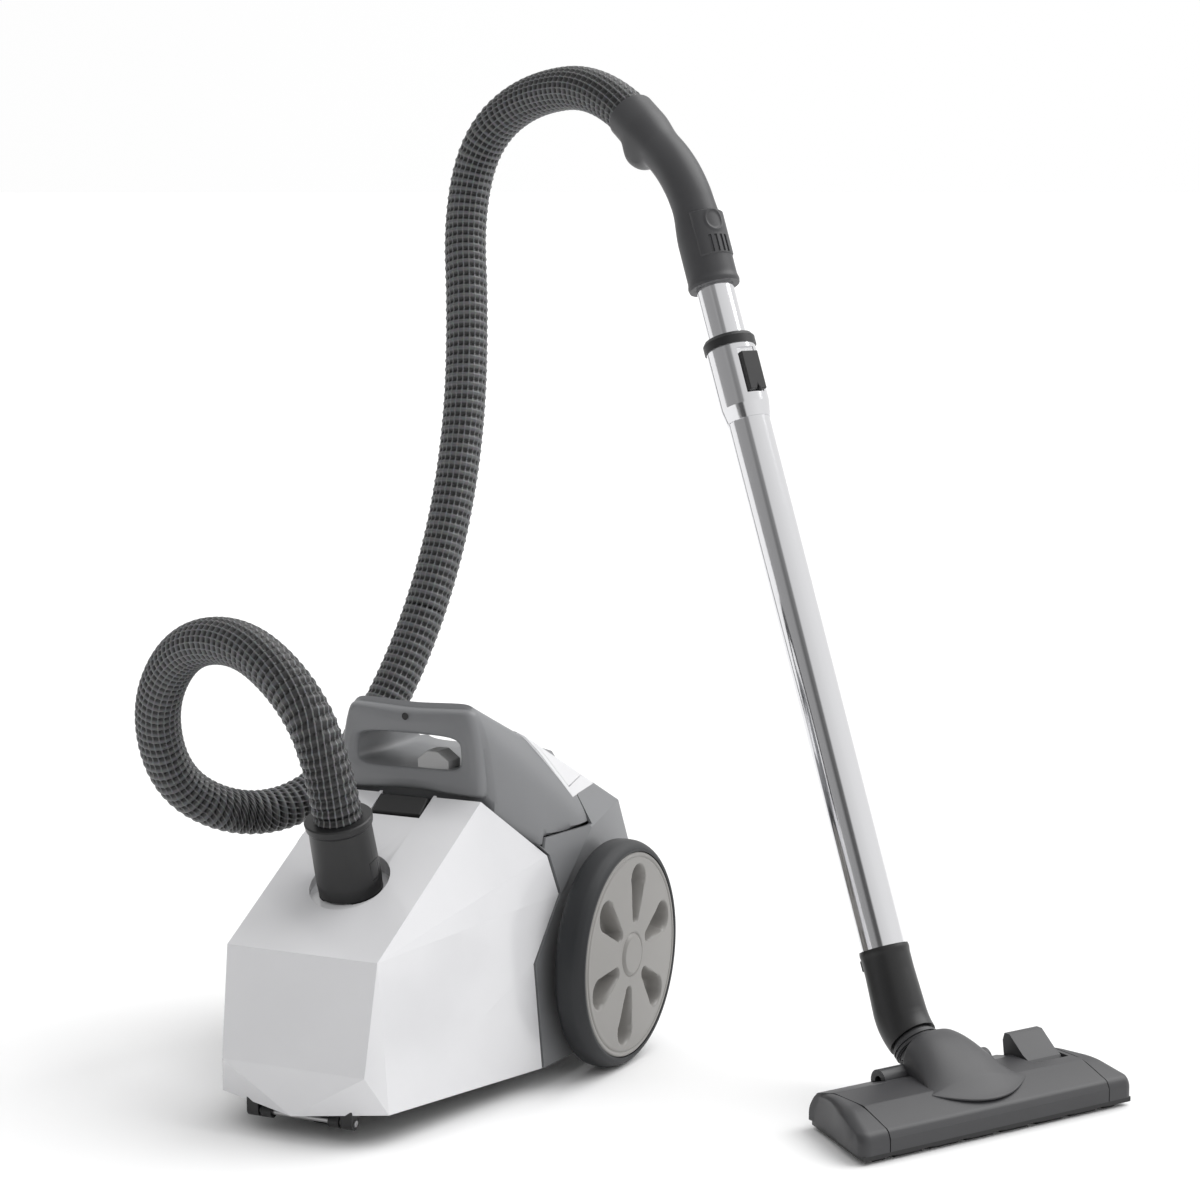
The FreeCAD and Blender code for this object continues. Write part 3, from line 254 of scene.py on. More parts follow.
# what each finish is made of, and what that gives the eye
finishes = {
    # gloss injection-moulded ABS: clear reflections with a faint ripple from the mould
    "glossWhiteAbs": mouldedPlastic("glossWhiteAbs", "#d6d6d8", 0.2, 14.0, 0.010, 0.012, 1.53, 0.35),
    # satin ABS from a lightly spark-eroded mould: soft highlights, fine grain
    "satinGreyAbs": mouldedPlastic("satinGreyAbs", "#77787a", 0.42, 0.9, 0.020, 0.03, 1.53),
    # satin ABS, paler, as on the small knob and the hub
    "satinLightAbs": mouldedPlastic("satinLightAbs", "#a3a3a3", 0.38, 0.9, 0.018, 0.025, 1.53),
    "satinHubAbs": mouldedPlastic("satinHubAbs", "#84827f", 0.36, 0.9, 0.018, 0.03, 1.53),
    # black polypropylene, spark-eroded: dull with a soft sheen
    "blackPolypropylene": mouldedPlastic("blackPolypropylene", "#151516", 0.42, 0.8, 0.030, 0.06, 1.49),
    # dark grey polypropylene of the floor head and the grip
    "greyPolypropylene": mouldedPlastic("greyPolypropylene", "#363638", 0.44, 0.8, 0.030, 0.05, 1.49),
    # natural rubber with carbon black: deep matt black with a blue cast
    "tyreRubber": mouldedPlastic("tyreRubber", "#0f1216", 0.55, 1.2, 0.045, 0.10, 1.52),
    "sealRubber": mouldedPlastic("sealRubber", "#1a1a1a", 0.7, 1.0, 0.05, 0.1, 1.52),
    # chromed steel tube: mirror bright with faint drawing marks
    "chromedSteel": polishedMetal("chromedSteel", "#dcdcde", 0.10, 2.0, 0.002),
    # plain turned steel of pins and axles
    "turnedSteel": polishedMetal("turnedSteel", "#a9a9aa", 0.30, 0.6, 0.006),
    # needled polyester fleece: soft, fibrous and off-white
    "needledFleece": fibreCloth("needledFleece", "#c9c4b8", "#e8e4da", 0.9, 0.25),
    "filterFelt": fibreCloth("filterFelt", "#9a9a98", "#cfcfcc", 1.1, 0.30),
    # nylon bristle strips, drawn as fine upright fibres
    "nylonBristle": fibreCloth("nylonBristle", "#101011", "#2c2c2e", 0.6, 0.30, 0.7),
    # glass-epoxy circuit board with a green lacquer
    "lacqueredBoard": mouldedPlastic("lacqueredBoard", "#1d4a2a", 0.35, 2.0, 0.02, 0.15, 1.55),
    "corrugatedPolyethylene": hosePlastic(),
}
print("materials made")


def surface(name, grid, finish, wrap=True, caps=False, uvScale=(1.0, 1.0), smoothBelow=35.0):
    # a mesh on a grid of points (rows x columns x 3, metres): each four neighbours make a face, the columns
    # close round when wrap is set, and caps closes the first and last row
    rows, columns = grid.shape[:2]
    index = np.arange(rows * columns).reshape(rows, columns)
    if wrap:
        index = np.hstack([index, index[:, :1]])
    quads = np.stack([index[:-1, :-1], index[:-1, 1:], index[1:, 1:], index[1:, :-1]], -1).reshape(-1, 4)
    faces = quads.tolist()
    if caps:
        faces += [index[0, :columns][::-1].tolist(), index[-1, :columns].tolist()]
    mesh = bpy.data.meshes.new(name)
    mesh.from_pydata(grid.reshape(-1, 3).tolist(), [], faces)
    r, c = np.mgrid[0:index.shape[0] - 1, 0:index.shape[1] - 1]
    across = np.stack([c, c + 1, c + 1, c], -1) / (index.shape[1] - 1) * uvScale[0]
    along = np.stack([r, r, r + 1, r + 1], -1) / (index.shape[0] - 1) * uvScale[1]
    uv = np.zeros((len(mesh.loops), 2))
    uv[:quads.size] = np.stack([across, along], -1).reshape(-1, 2)
    mesh.uv_layers.new(name="UVMap").data.foreach_set("uv", uv.ravel())
    mesh.materials.append(finishes[finish])
    mesh.shade_smooth()
    mesh.set_sharp_from_angle(angle=math.radians(smoothBelow))
    piece = bpy.data.objects.new(name, mesh)
    bpy.context.scene.collection.objects.link(piece)
    return piece


def finishPiece(piece, body, slot, *replaced):
    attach(piece, body)
    if replaced:
        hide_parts(*replaced)
    return piece


def routeLine(points):
    # the smooth line that the chosen points control
    curve = bpy.data.curves.new("hoseLine", "CURVE")
    curve.dimensions = "3D"
    spline = curve.splines.new("NURBS")
    spline.points.add(len(points) - 1)
    spline.points.foreach_set("co", np.hstack([np.array(points), np.ones((len(points), 1))]).ravel())
    spline.order_u = 3
    spline.use_endpoint_u = True
    spline.resolution_u = 40
    holder = bpy.data.objects.new("hoseLine", curve)
    line = bpy.data.meshes.new_from_object(holder)
    found = np.zeros(len(line.vertices) * 3)
    line.vertices.foreach_get("co", found)
    bpy.data.objects.remove(holder)
    return found.reshape(-1, 3)


def steadyFrames(line):
    # two directions across the line that turn no more than it does: a fixed direction laid across each
    # tangent, then turned back by the running sum of its twist from one point to the next
    tangent = np.gradient(line, axis=0)
    tangent /= np.linalg.norm(tangent, axis=1)[:, None]
    fixed = np.linalg.svd(tangent)[2][2]
    first = fixed - tangent * (tangent @ fixed)[:, None]
    first /= np.linalg.norm(first, axis=1)[:, None]
    second = np.cross(tangent, first)
    axis = np.cross(tangent[:-1], tangent[1:])
    size = np.linalg.norm(axis, axis=1)
    turn = np.arctan2(size, (tangent[:-1] * tangent[1:]).sum(1))[:, None]
    axis = axis / np.maximum(size, 1e-12)[:, None]
    carried = (first[:-1] * np.cos(turn) + np.cross(axis, first[:-1]) * np.sin(turn)
               + axis * (axis * first[:-1]).sum(1)[:, None] * (1 - np.cos(turn)))
    twist = np.arctan2((carried * second[1:]).sum(1), (carried * first[1:]).sum(1))
    back = -np.concatenate([[0.0], np.cumsum(twist)])[:, None]
    return (first * np.cos(back) + second * np.sin(back), second * np.cos(back) - first * np.sin(back))


def makeHose(values):
    # radius along the hose: valley + (crown - valley) * (half less half the cosine of one turn per rib) ^ 0.7,
    # never under the thread's radius on a thread's column
    line = routeLine(values["route"])
    gone = np.concatenate([[0.0], np.cumsum(np.linalg.norm(np.diff(line, axis=0), axis=1))])
    pitch = values["pitch"] * mm
    ribs = int(gone[-1] / pitch)
    steps = np.linspace(0, ribs * pitch, ribs * values["perRib"] + 1)
    steps = steps * gone[-1] / steps[-1]
    path = np.stack([np.interp(steps, gone, line[:, i]) for i in range(3)], -1)
    first, second = steadyFrames(path)
    columns = values["threads"] * values["perThread"]
    angle = np.arange(columns) * 2 * math.pi / columns
    ribAt = np.arange(len(path)) / values["perRib"]
    wave = (0.5 - 0.5 * np.cos(2 * math.pi * ribAt)) ** 0.7
    radius = values["valley"] + (values["outer"] - values["valley"]) * wave
    radius = np.repeat(radius[:, None], columns, 1)
    onThread = slice(None, None, values["perThread"])
    radius[:, onThread] = np.maximum(radius[:, onThread] + values["threadRise"], values["threadR"])
    spokes = first[:, None] * np.cos(angle)[None, :, None] + second[:, None] * np.sin(angle)[None, :, None]
    grid = path[:, None] + spokes * radius[..., None] * mm
    begin = 0
    for name, end, bodyA, bodyB, bendFrom, bendTo in values["stretches"]:
        last = len(path) - 1 if end is None else int(end / values["pitch"]) * values["perRib"]
        rows = grid[begin:last + 1]
        piece = surface(name, rows, "corrugatedPolyethylene", caps=True, smoothBelow=60.0,
                        uvScale=(1.0, (last - begin) / values["perRib"]))
        uv = piece.data.uv_layers["UVMap"].data
        flat = np.zeros(len(uv) * 2)
        uv.foreach_get("uv", flat)
        flat[1::2] += 0.5  # the wave's crown lies half a rib past each end
        uv.foreach_set("uv", flat)
        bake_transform(piece)
        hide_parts("hose")
        begin = last
    print("hose made,", round(float(gone[-1]), 3), "m")


makeHose(hoseSet)


def softProfile(points, radius, steps=5):
    # the outline with each corner rounded: a quadratic arc from radius before the corner to radius after it,
    # or to 0.45 of a shorter side
    points = np.array(points, float)
    before, corner, after = points[:-2], points[1:-1], points[2:]
    inLength = np.linalg.norm(corner - before, axis=1)
    outLength = np.linalg.norm(after - corner, axis=1)
    reach = np.minimum(radius, 0.45 * np.minimum(inLength, outLength))[:, None]
    start = corner + (before - corner) / inLength[:, None] * reach
    stop = corner + (after - corner) / outLength[:, None] * reach
    t = np.linspace(0, 1, steps)[None, :, None]
    arcs = start[:, None] * (1 - t) ** 2 + corner[:, None] * 2 * t * (1 - t) + stop[:, None] * t ** 2
    return np.vstack([points[:1], arcs.reshape(-1, 2), points[-1:]])


def turnedGrid(profile, base, axis, segments=96):
    # profile (radius, height) carried round the axis through base: base + axis * height + spoke * radius
    axis = np.array(axis, float) / np.linalg.norm(axis)
    fixed = np.array([0.0, 0.0, 1.0]) if abs(axis[2]) < 0.9 else np.array([1.0, 0.0, 0.0])
    first = np.cross(axis, fixed)
    first /= np.linalg.norm(first)
    second = np.cross(axis, first)
    angle = np.arange(segments) * 2 * math.pi / segments
    spokes = first * np.cos(angle)[:, None] + second * np.sin(angle)[:, None]
    profile = np.array(profile, float)
    return (np.array(base, float) + axis * profile[:, 1][:, None, None]
            + spokes[None] * profile[:, 0][:, None, None])


def outwards(piece):
    # turns every face to the outside, after equal points are merged
    shape = bmesh.new()
    shape.from_mesh(piece.data)
    bmesh.ops.remove_doubles(shape, verts=shape.verts, dist=1e-6)
    bmesh.ops.recalc_face_normals(shape, faces=shape.faces)
    shape.to_mesh(piece.data)
    shape.free()
    return piece


def roundedCopy(node, finish, body, slot, width=0.8, angle=28.0, second=None):
    # a merged copy of a CAD shell, flat faces joined, its sharp edges broken by width mm as a mould leaves
    # them; second is (finish, test) for the faces that take another finish
    name = node + "_moulded"
    shape = bmesh.new()
    shape.from_mesh(nodes[node].data)
    bmesh.ops.remove_doubles(shape, verts=shape.verts, dist=2e-6)
    bmesh.ops.dissolve_limit(shape, angle_limit=math.radians(0.6), verts=shape.verts, edges=shape.edges)
    mesh = bpy.data.meshes.new(name)
    shape.to_mesh(mesh)
    shape.free()
    mesh.materials.clear()
    mesh.materials.append(finishes[finish])
    mesh.polygons.foreach_set("material_index", np.zeros(len(mesh.polygons), int))
    if second:
        mesh.materials.append(finishes[second[0]])
        centres = np.zeros(len(mesh.polygons) * 3)
        mesh.polygons.foreach_get("center", centres)
        picked = second[1]((centres.reshape(-1, 3) - shift) / mm)
        mesh.polygons.foreach_set("material_index", picked.astype(int))
    mesh.shade_smooth()
    mesh.set_sharp_from_angle(angle=math.radians(angle))
    piece = bpy.data.objects.new(name, mesh)
    bpy.context.scene.collection.objects.link(piece)
    edge = piece.modifiers.new("softEdges", "BEVEL")
    edge.width, edge.segments = width * mm, 2
    edge.limit_method, edge.angle_limit = "ANGLE", math.radians(angle)
    edge.use_clamp_overlap = True
    edge.harden_normals = True
    return finishPiece(piece, body, slot, node)


bodyOf = {name: body for body, names in frame["record"]["behaviour"]["bodies"].items() for name in names}
slotOf = {part["node"]: part["material_slot"] for part in frame["record"]["subparts"]}

# CAD nodes whose shape is right keep it and take a finish
plainFinish = {
    "inlet_socket": "blackPolypropylene", "inlet_gasket": "sealRubber", "base_pan": "blackPolypropylene",
    "lid_hinge_pin": "turnedSteel", "bulkhead": "blackPolypropylene", "motor": "turnedSteel",
    "motor_mounts": "sealRubber", "motor_filter": "filterFelt", "fan": "blackPolypropylene",
    "cord_reel": "blackPolypropylene", "reel_pin": "turnedSteel", "circuit_board": "lacqueredBoard",
    "exhaust_filter": "filterFelt", "cord_outlet": "blackPolypropylene", "bag_holder": "blackPolypropylene",
    "wheel_axles": "turnedSteel", "caster_pin": "turnedSteel", "caster_roller": "tyreRubber",
    "neck_axle": "turnedSteel", "handle_screw": "turnedSteel", "power_spring": "turnedSteel",
    "cord_rewind_spring": "turnedSteel", "brush_strips": "nylonBristle", "outer_tube": "chromedSteel",
    "inner_tube": "chromedSteel", "tube_collar": "chromedSteel", "collar_ring": "blackPolypropylene",
    "connector_button_left": "blackPolypropylene", "connector_button_right": "blackPolypropylene",
    "hose_connector": "blackPolypropylene", "neck": "greyPolypropylene", "head_end_caps": "greyPolypropylene",
}
for node, finish in plainFinish.items():
    data = nodes[node].data
    data.materials.clear()
    data.materials.append(finishes[finish])

# shells whose edges are rounded: finish and edge width in millimetres
shellFinish = {
    "lid": ("glossWhiteAbs", 1.3), "rear_cover": ("glossWhiteAbs", 0.8),
    "power_pedal": ("glossWhiteAbs", 0.8), "cord_rewind_pedal": ("glossWhiteAbs", 0.8),
    "rear_casing": ("satinGreyAbs", 1.0), "suction_slider_knob": ("satinLightAbs", 1.0),
    "exhaust_grille": ("satinGreyAbs", 0.5), "lid_latch": ("blackPolypropylene", 0.8),
    "caster_fork": ("blackPolypropylene", 0.6), "head_shell": ("greyPolypropylene", 0.8),
    "head_pedal": ("greyPolypropylene", 0.9),
    "sole_plate": ("blackPolypropylene", 0.5), "cuff_clip": ("blackPolypropylene", 0.6),
    "telescope_button": ("blackPolypropylene", 0.8),
}


def paintedShadeUnderFront(centre):
    # true for the lid's faces that belong to its two hinge arms, low under the front; they take black as
    # painted shade
    return (centre[:, 2] < 24) & (np.abs(centre[:, 0]) < 50) & (centre[:, 1] > -190)


# the lid's faces low under its front are painted black as shade
secondFinish = {"lid": ("blackPolypropylene", paintedShadeUnderFront)}
for node, (finish, width) in shellFinish.items():
    roundedCopy(node, finish, bodyOf[node], slotOf[node], width, second=secondFinish.get(node))
print("shells made")

tyreSet = {"radius": 92.5, "inner": 117.5, "width": 27.0, "thick": 9.0, "shoulder": 2.2}


def makeTyres(values):
    # a closed ring: flat sides, a slightly crowned tread and rounded shoulders
    low, high = values["radius"] - values["thick"], values["radius"]
    wide = values["width"]
    outline = [(low, 2), (high - 4, 0.2), (high - 0.4, 4.5), (high, 12), (high - 0.5, wide - 9),
               (high - 3.2, wide - 3.6), (low + 2.2, wide - 1), (low, wide - 1.5)]
    ring = softProfile(outline, values["shoulder"])
    ring = np.vstack([ring, ring[:1]])
    for name, side in (("left", -1), ("right", 1)):
        base = place((side * values["inner"], axleBack, high))
        grid = turnedGrid(ring * mm, base, (side, 0, 0), 160)
        piece = outwards(surface(name + "_tyre_rubber", grid, "tyreRubber", smoothBelow=50.0))
        finishPiece(piece, name + "_wheel", "tyre_rubber", name + "_tyre")


makeTyres(tyreSet)

hubSet = {
    "rim": 83.3, "face": 144.0, "back": 119.0, "cap": 16.8, "capRise": 1.4, "holes": 6,
    "holeDepth": 14.0, "holeSlope": 5.0,  # how deep each opening is and how wide its sloping wall
    "inner": (31.0, 6.0), "outer": (60.5, 13.5),  # radius and half width at a teardrop's two ends
    "turn": 12.0,  # degrees the openings stand off the vertical
    "grooves": [(79.2, 0.8, 0.9), (17.6, 0.7, 0.8)],  # round the rim and the cap: radius, half width, depth
}


def makeHubs(values):
    # a disc whose face sinks inside six rounded teardrops. A teardrop is every point nearer to the line
    # between its two end circles than a half width that grows evenly from one to the other; the depth follows
    # a smooth ramp of that distance. The rim has a thin groove, the cap a shallow crown.
    radius = np.concatenate([[0.5], np.linspace(1.5, values["rim"], 118)])
    angle = np.arange(330) * 2 * math.pi / 330
    r, a = np.meshgrid(radius, angle, indexing="ij")
    period = 2 * math.pi / values["holes"]
    local = (a - math.radians(values["turn"]) + period / 2) % period - period / 2
    u, v = r * np.cos(local), r * np.sin(local)
    (near, nearHalf), (far, farHalf) = values["inner"], values["outer"]
    t = np.clip((u - near) / (far - near), 0, 1)
    distance = np.hypot(u - (near + (far - near) * t), v) - (nearHalf + (farHalf - nearHalf) * t)
    ramp = np.clip(-distance / values["holeSlope"], 0, 1)
    sink = values["holeDepth"] * ramp ** 2 * (3 - 2 * ramp)
    for at, wide, deep in values["grooves"]:
        sink = sink + deep * np.exp(-((r - at) / wide) ** 2)
    crown = values["capRise"] * np.clip((values["cap"] - r) / 2.0, 0, 1)
    crown = crown - 0.9 * np.clip((r - 20) / 55, 0, 1) ** 2
    edge = 1.6 * np.clip((r - values["rim"] + 1.6) / 1.6, 0, 1) ** 2
    out = values["face"] - sink + crown - edge
    back = np.full((1, len(angle)), values["back"])
    out = np.vstack([out, back, back])
    r = np.vstack([r, r[-1:], np.full((1, len(angle)), 7.0)])
    a = np.vstack([a, a[-1:], a[-1:]])
    for name, side in (("left", -1), ("right", 1)):
        points = np.stack([side * out, axleBack + r * np.sin(a), tyreSet["radius"] + r * np.cos(a)], -1)
        piece = surface(name + "_hub_disc", place(points), "satinHubAbs", caps=True, smoothBelow=50.0)
        outwards(piece)
        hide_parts(name + "_hub_cap")
        finishPiece(piece, name + "_wheel", slotOf[name + "_hub"], name + "_hub")


makeHubs(hubSet)
print("wheels made")

archSet = {
    "points": [(60, -15, 301), (50, -12, 313), (67, -15, 234), (92.6, 37, 181), (105.6, 41, 150),
               (76, 42, 257), (57, 47, 268), (96.6, 85, 210), (60, 81, 259), (105.6, 96, 193),
               (100, 185, 150), (90, 178, 199), (60, 185, 120), (108, 110, 165), (60, 0, 180)],
    "middle": 266.0, "front": -16.0, "back": 99.0, "soft": 3.2, "roll": 7.0, "rimRoll": 4.5, "least": 3.5,
    "opening": (-50.5, 47.5, 253.0, 280.0, 5.0),  # left, right, low, high, and how much the top narrows
    "slot": ((-24.0, 30.0), (-5.4, 1.4), (250.0, 255.0)),  # the knob's slot: x, y and z, from and to
    "screw": (-3.0, 294.0), "dish": [(2.9, 0.3), (2.6, 0.5), (2.3, 0.2), (2.2, -0.4), (0.4, -0.5)],
}


def hullPlanes(points):
    # every plane through three of the points that has all the others on one side
    points = np.array(points, float)
    every = np.indices((len(points),) * 3).reshape(3, -1)
    i, j, k = every[:, (every[0] < every[1]) & (every[1] < every[2])]
    normal = np.cross(points[j] - points[i], points[k] - points[i])
    size = np.linalg.norm(normal, axis=1)
    keep = size > 1.0
    normal, at = normal[keep] / size[keep][:, None], points[i][keep]
    middle = points.mean(0)
    normal = np.where(((middle - at) * normal).sum(1)[:, None] > 0, -normal, normal)
    offset = (normal * at).sum(1)
    outside = (points @ normal.T - offset).max(0) < 0.02
    return normal[outside], offset[outside]


def lowerEdge(y):
    # height of the handle's lower edge at depth y: level at the lip, down with the lid, then up to the deck
    if y < -14:
        return 228
    if y < 32:
        return 224 - 37 * (y + 17) / 49
    return min(187 + 53 * (y - 32) / 28, 195)


def makeHandle(values):
    # rings round the hand opening: each runs from the opening's rim across the front, rolls over the outer
    # edge, follows the arch back and returns through the opening. The arch is the smooth minimum, over its flat
    # sides, of the distance from the opening's middle; the opening is a box with rounded corners.
    mirrored = values["points"] + [(-x, y, z) for x, y, z in values["points"]]
    normal, offset = hullPlanes(mirrored)
    columns = 220
    angle = np.arange(columns) * 2 * math.pi / columns
    dx, dz = np.sin(angle), np.cos(angle)
    x0, x1, z0, z1, lean = values["opening"]
    cz = values["middle"]
    # opening: distance from the middle to a box rounded by a power of 5
    halfX = np.where(dx > 0, x1, -x0) - lean * 0.5 * (1 + dz)
    halfZ = np.where(dz > 0, z1 - cz, cz - z0)
    inner = (np.abs(dx / halfX) ** 5 + np.abs(dz / halfZ) ** 5) ** (-1 / 5)

    def outer(y):
        # distance to the arch at depth y, never below the handle's lower edge
        reach = normal[:, 0, None] * dx + normal[:, 2, None] * dz
        room = (offset - normal[:, 1] * y - normal[:, 2] * cz)[:, None]
        far = np.where(reach > 1e-3, room / np.maximum(reach, 1e-3), 1e4)
        floor = np.where(dz < -1e-3, (cz - lowerEdge(y)) / np.maximum(-dz, 1e-3), 1e4)
        far = np.vstack([far, floor])
        least = far.min(0)
        return least - values["soft"] * np.log(np.exp(-(far - least) / values["soft"]).sum(0))

    depth = np.linspace(values["front"] + 1.5, values["back"], 44)
    reachAt = np.array([outer(y) for y in depth])
    ended = reachAt < inner + values["least"]  # where the arch has run out beside the opening
    stop = np.where(ended.any(0), np.argmax(ended, 0), len(depth) - 1)
    rows = []
    roll = np.linspace(0, math.pi / 2, 7)
    front = values["front"]
    rim = values["rimRoll"]
    edge = outer(front + 2.0)
    for turn in roll:
        rows.append((inner + rim * (1 - math.cos(turn)), front + rim * (1 - math.sin(turn))))
    for share in (0.25, 0.5, 0.75):
        a, b = inner + rim, edge - values["roll"]
        rows.append((a + (b - a) * share, front - 0.8 * math.sin(math.pi * share)))
    over = values["roll"]
    for turn in roll:
        rows.append((edge - over * (1 - math.sin(turn)), front + over * (1 - math.cos(turn))))
    first = int(np.argmax(depth > front + over + 1))
    for step in range(first, len(depth)):
        at = np.minimum(step, np.maximum(stop, first))
        rows.append((np.maximum(reachAt[at, np.arange(columns)], inner + 2.0), depth[at]))
    last = rows[-1]
    rows.append((inner + 1.0, last[1]))
    rows.append((inner, last[1] - 1.0))
    for share in (0.25, 0.5, 0.75):
        rows.append((inner, (last[1] - 1.0) * (1 - share) + (front + rim) * share))
    rows.append(rows[0])
    radius = np.array([np.broadcast_to(r, columns) for r, y in rows])
    y = np.array([np.broadcast_to(y, columns) for r, y in rows])
    grid = np.stack([radius * dx, y, cz + radius * dz], -1)
    piece = surface("handle_moulded", place(grid), "satinGreyAbs", smoothBelow=42.0)
    centres = np.zeros(len(piece.data.polygons) * 3)
    piece.data.polygons.foreach_get("center", centres)
    centres = (centres.reshape(-1, 3) - shift) / mm
    start, stop = np.array(values["slot"]).T
    inSlot = ((centres > start) & (centres < stop)).all(1)
    shape = bmesh.new()
    shape.from_mesh(piece.data)
    shape.faces.ensure_lookup_table()
    bmesh.ops.delete(shape, geom=[shape.faces[i] for i in np.flatnonzero(inSlot)], context="FACES")
    shape.to_mesh(piece.data)
    shape.free()
    outwards(piece)
    finishPiece(piece, "root", slotOf["carry_handle"], "carry_handle")
    # the screw's recess: a black dish let into the front, painted shade in the recess
    screwX, screwZ = values["screw"]
    dish = turnedGrid(np.array(values["dish"]) * mm, place((screwX, front - 0.5, screwZ)), (0, -1, 0), 32)
    paintedRecessShade = surface("screw_recess_painted_shade", dish, "blackPolypropylene", caps=True)
    outwards(paintedRecessShade)
    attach(paintedRecessShade, "root")


makeHandle(archSet)
print("handle made")

# wand and grip, in the floor head's frame
wandSet = {
    "tilt": 24.1, "neckLift": 38.0, "pivot": (0.0, 34.0, 31.0), "neckReach": 30.3,
    "elbowBend": 46.0, "cuffLength": 50.0, "mouthR": 17.6, "footR": 13.0, "gripStart": (0.0, 322.56, 623.67),
    "gripStraight": 62.0, "gripBend": 33.0, "gripRadius": 120.0, "gripEnd": 60.0,
    "gripFootR": 15.7, "gripMouthR": 19.4,
}
tilt, lift = math.radians(wandSet["tilt"]), math.radians(wandSet["neckLift"])
wandDir = np.array([0.0, math.sin(tilt), math.cos(tilt)])
wandBack = np.array([0.0, math.cos(tilt), -math.sin(tilt)])
neckDir = np.array([0.0, math.cos(lift), math.sin(lift)])
neckSide = np.array([0.0, -math.sin(lift), math.cos(lift)])


def bentLine(start, direction, towards, first, bend, radius, last, step=2.0):
    # a straight of length first, an arc of the given bend and radius towards one side, then a straight of
    # length last
    arc = radius * bend
    s = np.arange(0, first + arc + last + step / 2, step)
    turn = np.clip((s - first) / radius, 0, bend)[:, None]
    straight = np.minimum(s, first)[:, None] * direction
    curved = radius * (np.sin(turn) * direction + (1 - np.cos(turn)) * towards)
    beyond = np.maximum(s - first - arc, 0)[:, None] * (math.cos(bend) * direction + math.sin(bend) * towards)
    along = np.cos(turn) * direction + np.sin(turn) * towards
    return s, np.array(start, float) + straight + curved + beyond, along


def sweptGrid(line, along, radii, segments=72, shape=None):
    # rings of the given radii across a line that stays in one plane x = constant
    side = np.array([1.0, 0.0, 0.0])
    up = np.cross(along, side)
    angle = np.arange(segments) * 2 * math.pi / segments
    size = radii[:, None] * np.ones(segments) if shape is None else radii[:, None] * shape
    return (line[:, None] + side * (np.cos(angle) * size)[..., None]
            + up[:, None] * (np.sin(angle) * size)[..., None])


def makeElbow(values):
    # outside radius: 20 at the swivel, 20.8 through the bend, easing to 19.6 on the cuff, a bead at its mouth
    start = np.array(values["pivot"]) + neckDir * values["neckReach"]
    bend = math.pi / 2 - tilt - lift
    s, line, along = bentLine(start, neckDir, neckSide, 4.0, bend, values["elbowBend"],
                              values["cuffLength"], 1.0)
    radii = 20.0 + 0.8 * np.clip(s / 18, 0, 1) ** 0.8 - 1.2 * np.clip((s - 26) / 30, 0, 1)
    radii = radii + 0.5 * np.exp(-((s - s[-1] + 3) / 2.2) ** 2)
    foot = sweptGrid(line[:1], along[:1], np.array([values["footR"]]))
    inside = sweptGrid(line[-8:][::-1], along[-8:][::-1], np.full(8, values["mouthR"]))
    rings = np.concatenate([foot, sweptGrid(line, along, radii), inside])
    piece = surface("elbow_cuff_moulded", fromHead(rings), "blackPolypropylene", smoothBelow=50.0)
    outwards(piece)
    finishPiece(piece, "wand", slotOf["elbow_cuff"], "elbow_cuff")


def makeGrip(values):
    # radius along the grip: 20.8 round the tube socket, 18.2 in the hand and 21.2 round the hose socket, each
    # step eased by a smooth ramp, with a bead where the tube goes in
    start = np.array(values["gripStart"])
    bend = math.radians(values["gripBend"])
    s, line, along = bentLine(start, wandDir, wandBack, values["gripStraight"], bend, values["gripRadius"],
                              values["gripEnd"], 1.5)

    def ramp(a, b):
        t = np.clip((s - a) / (b - a), 0, 1)
        return t ** 2 * (3 - 2 * t)

    radii = 20.8 - 2.6 * ramp(40, 74) + 3.0 * ramp(138, 168) + 0.9 * np.exp(-((s - 3) / 2.6) ** 2)
    angle = np.arange(72) * 2 * math.pi / 72
    # a round boss under the hose socket
    boss = 0.5 * np.exp(-(np.abs(s - 156) / 13.0) ** 3)[:, None] * np.clip(np.sin(angle), 0, 1)[None] ** 2.5
    foot = sweptGrid(line[:1], along[:1], np.array([values["gripFootR"]]))
    lip = sweptGrid(line[-1:], along[-1:], np.array([values["gripMouthR"]]))
    deep = sweptGrid(line[-12:-11], along[-12:-11], np.array([values["gripMouthR"]]))
    rings = np.concatenate([foot, sweptGrid(line, along, radii, 72, 1 + boss), lip, deep])
    piece = outwards(surface("grip_moulded", fromHead(rings), "greyPolypropylene", smoothBelow=50.0))
    finishPiece(piece, "handle", slotOf["grip"], "grip")


makeElbow(wandSet)
makeGrip(wandSet)

# suction regulator on the grip: a curved slide with an oval finger pad and four air slots
sliderSet = {
    "radius": 21.9, "half": 54.0, "low": 22.0, "high": 62.0, "slots": 4, "slotPitch": 5.2, "slotDepth": 2.2,
    "pad": (52.0, 8.0, 9.0),  # its middle along the grip, then its half width and half length
}


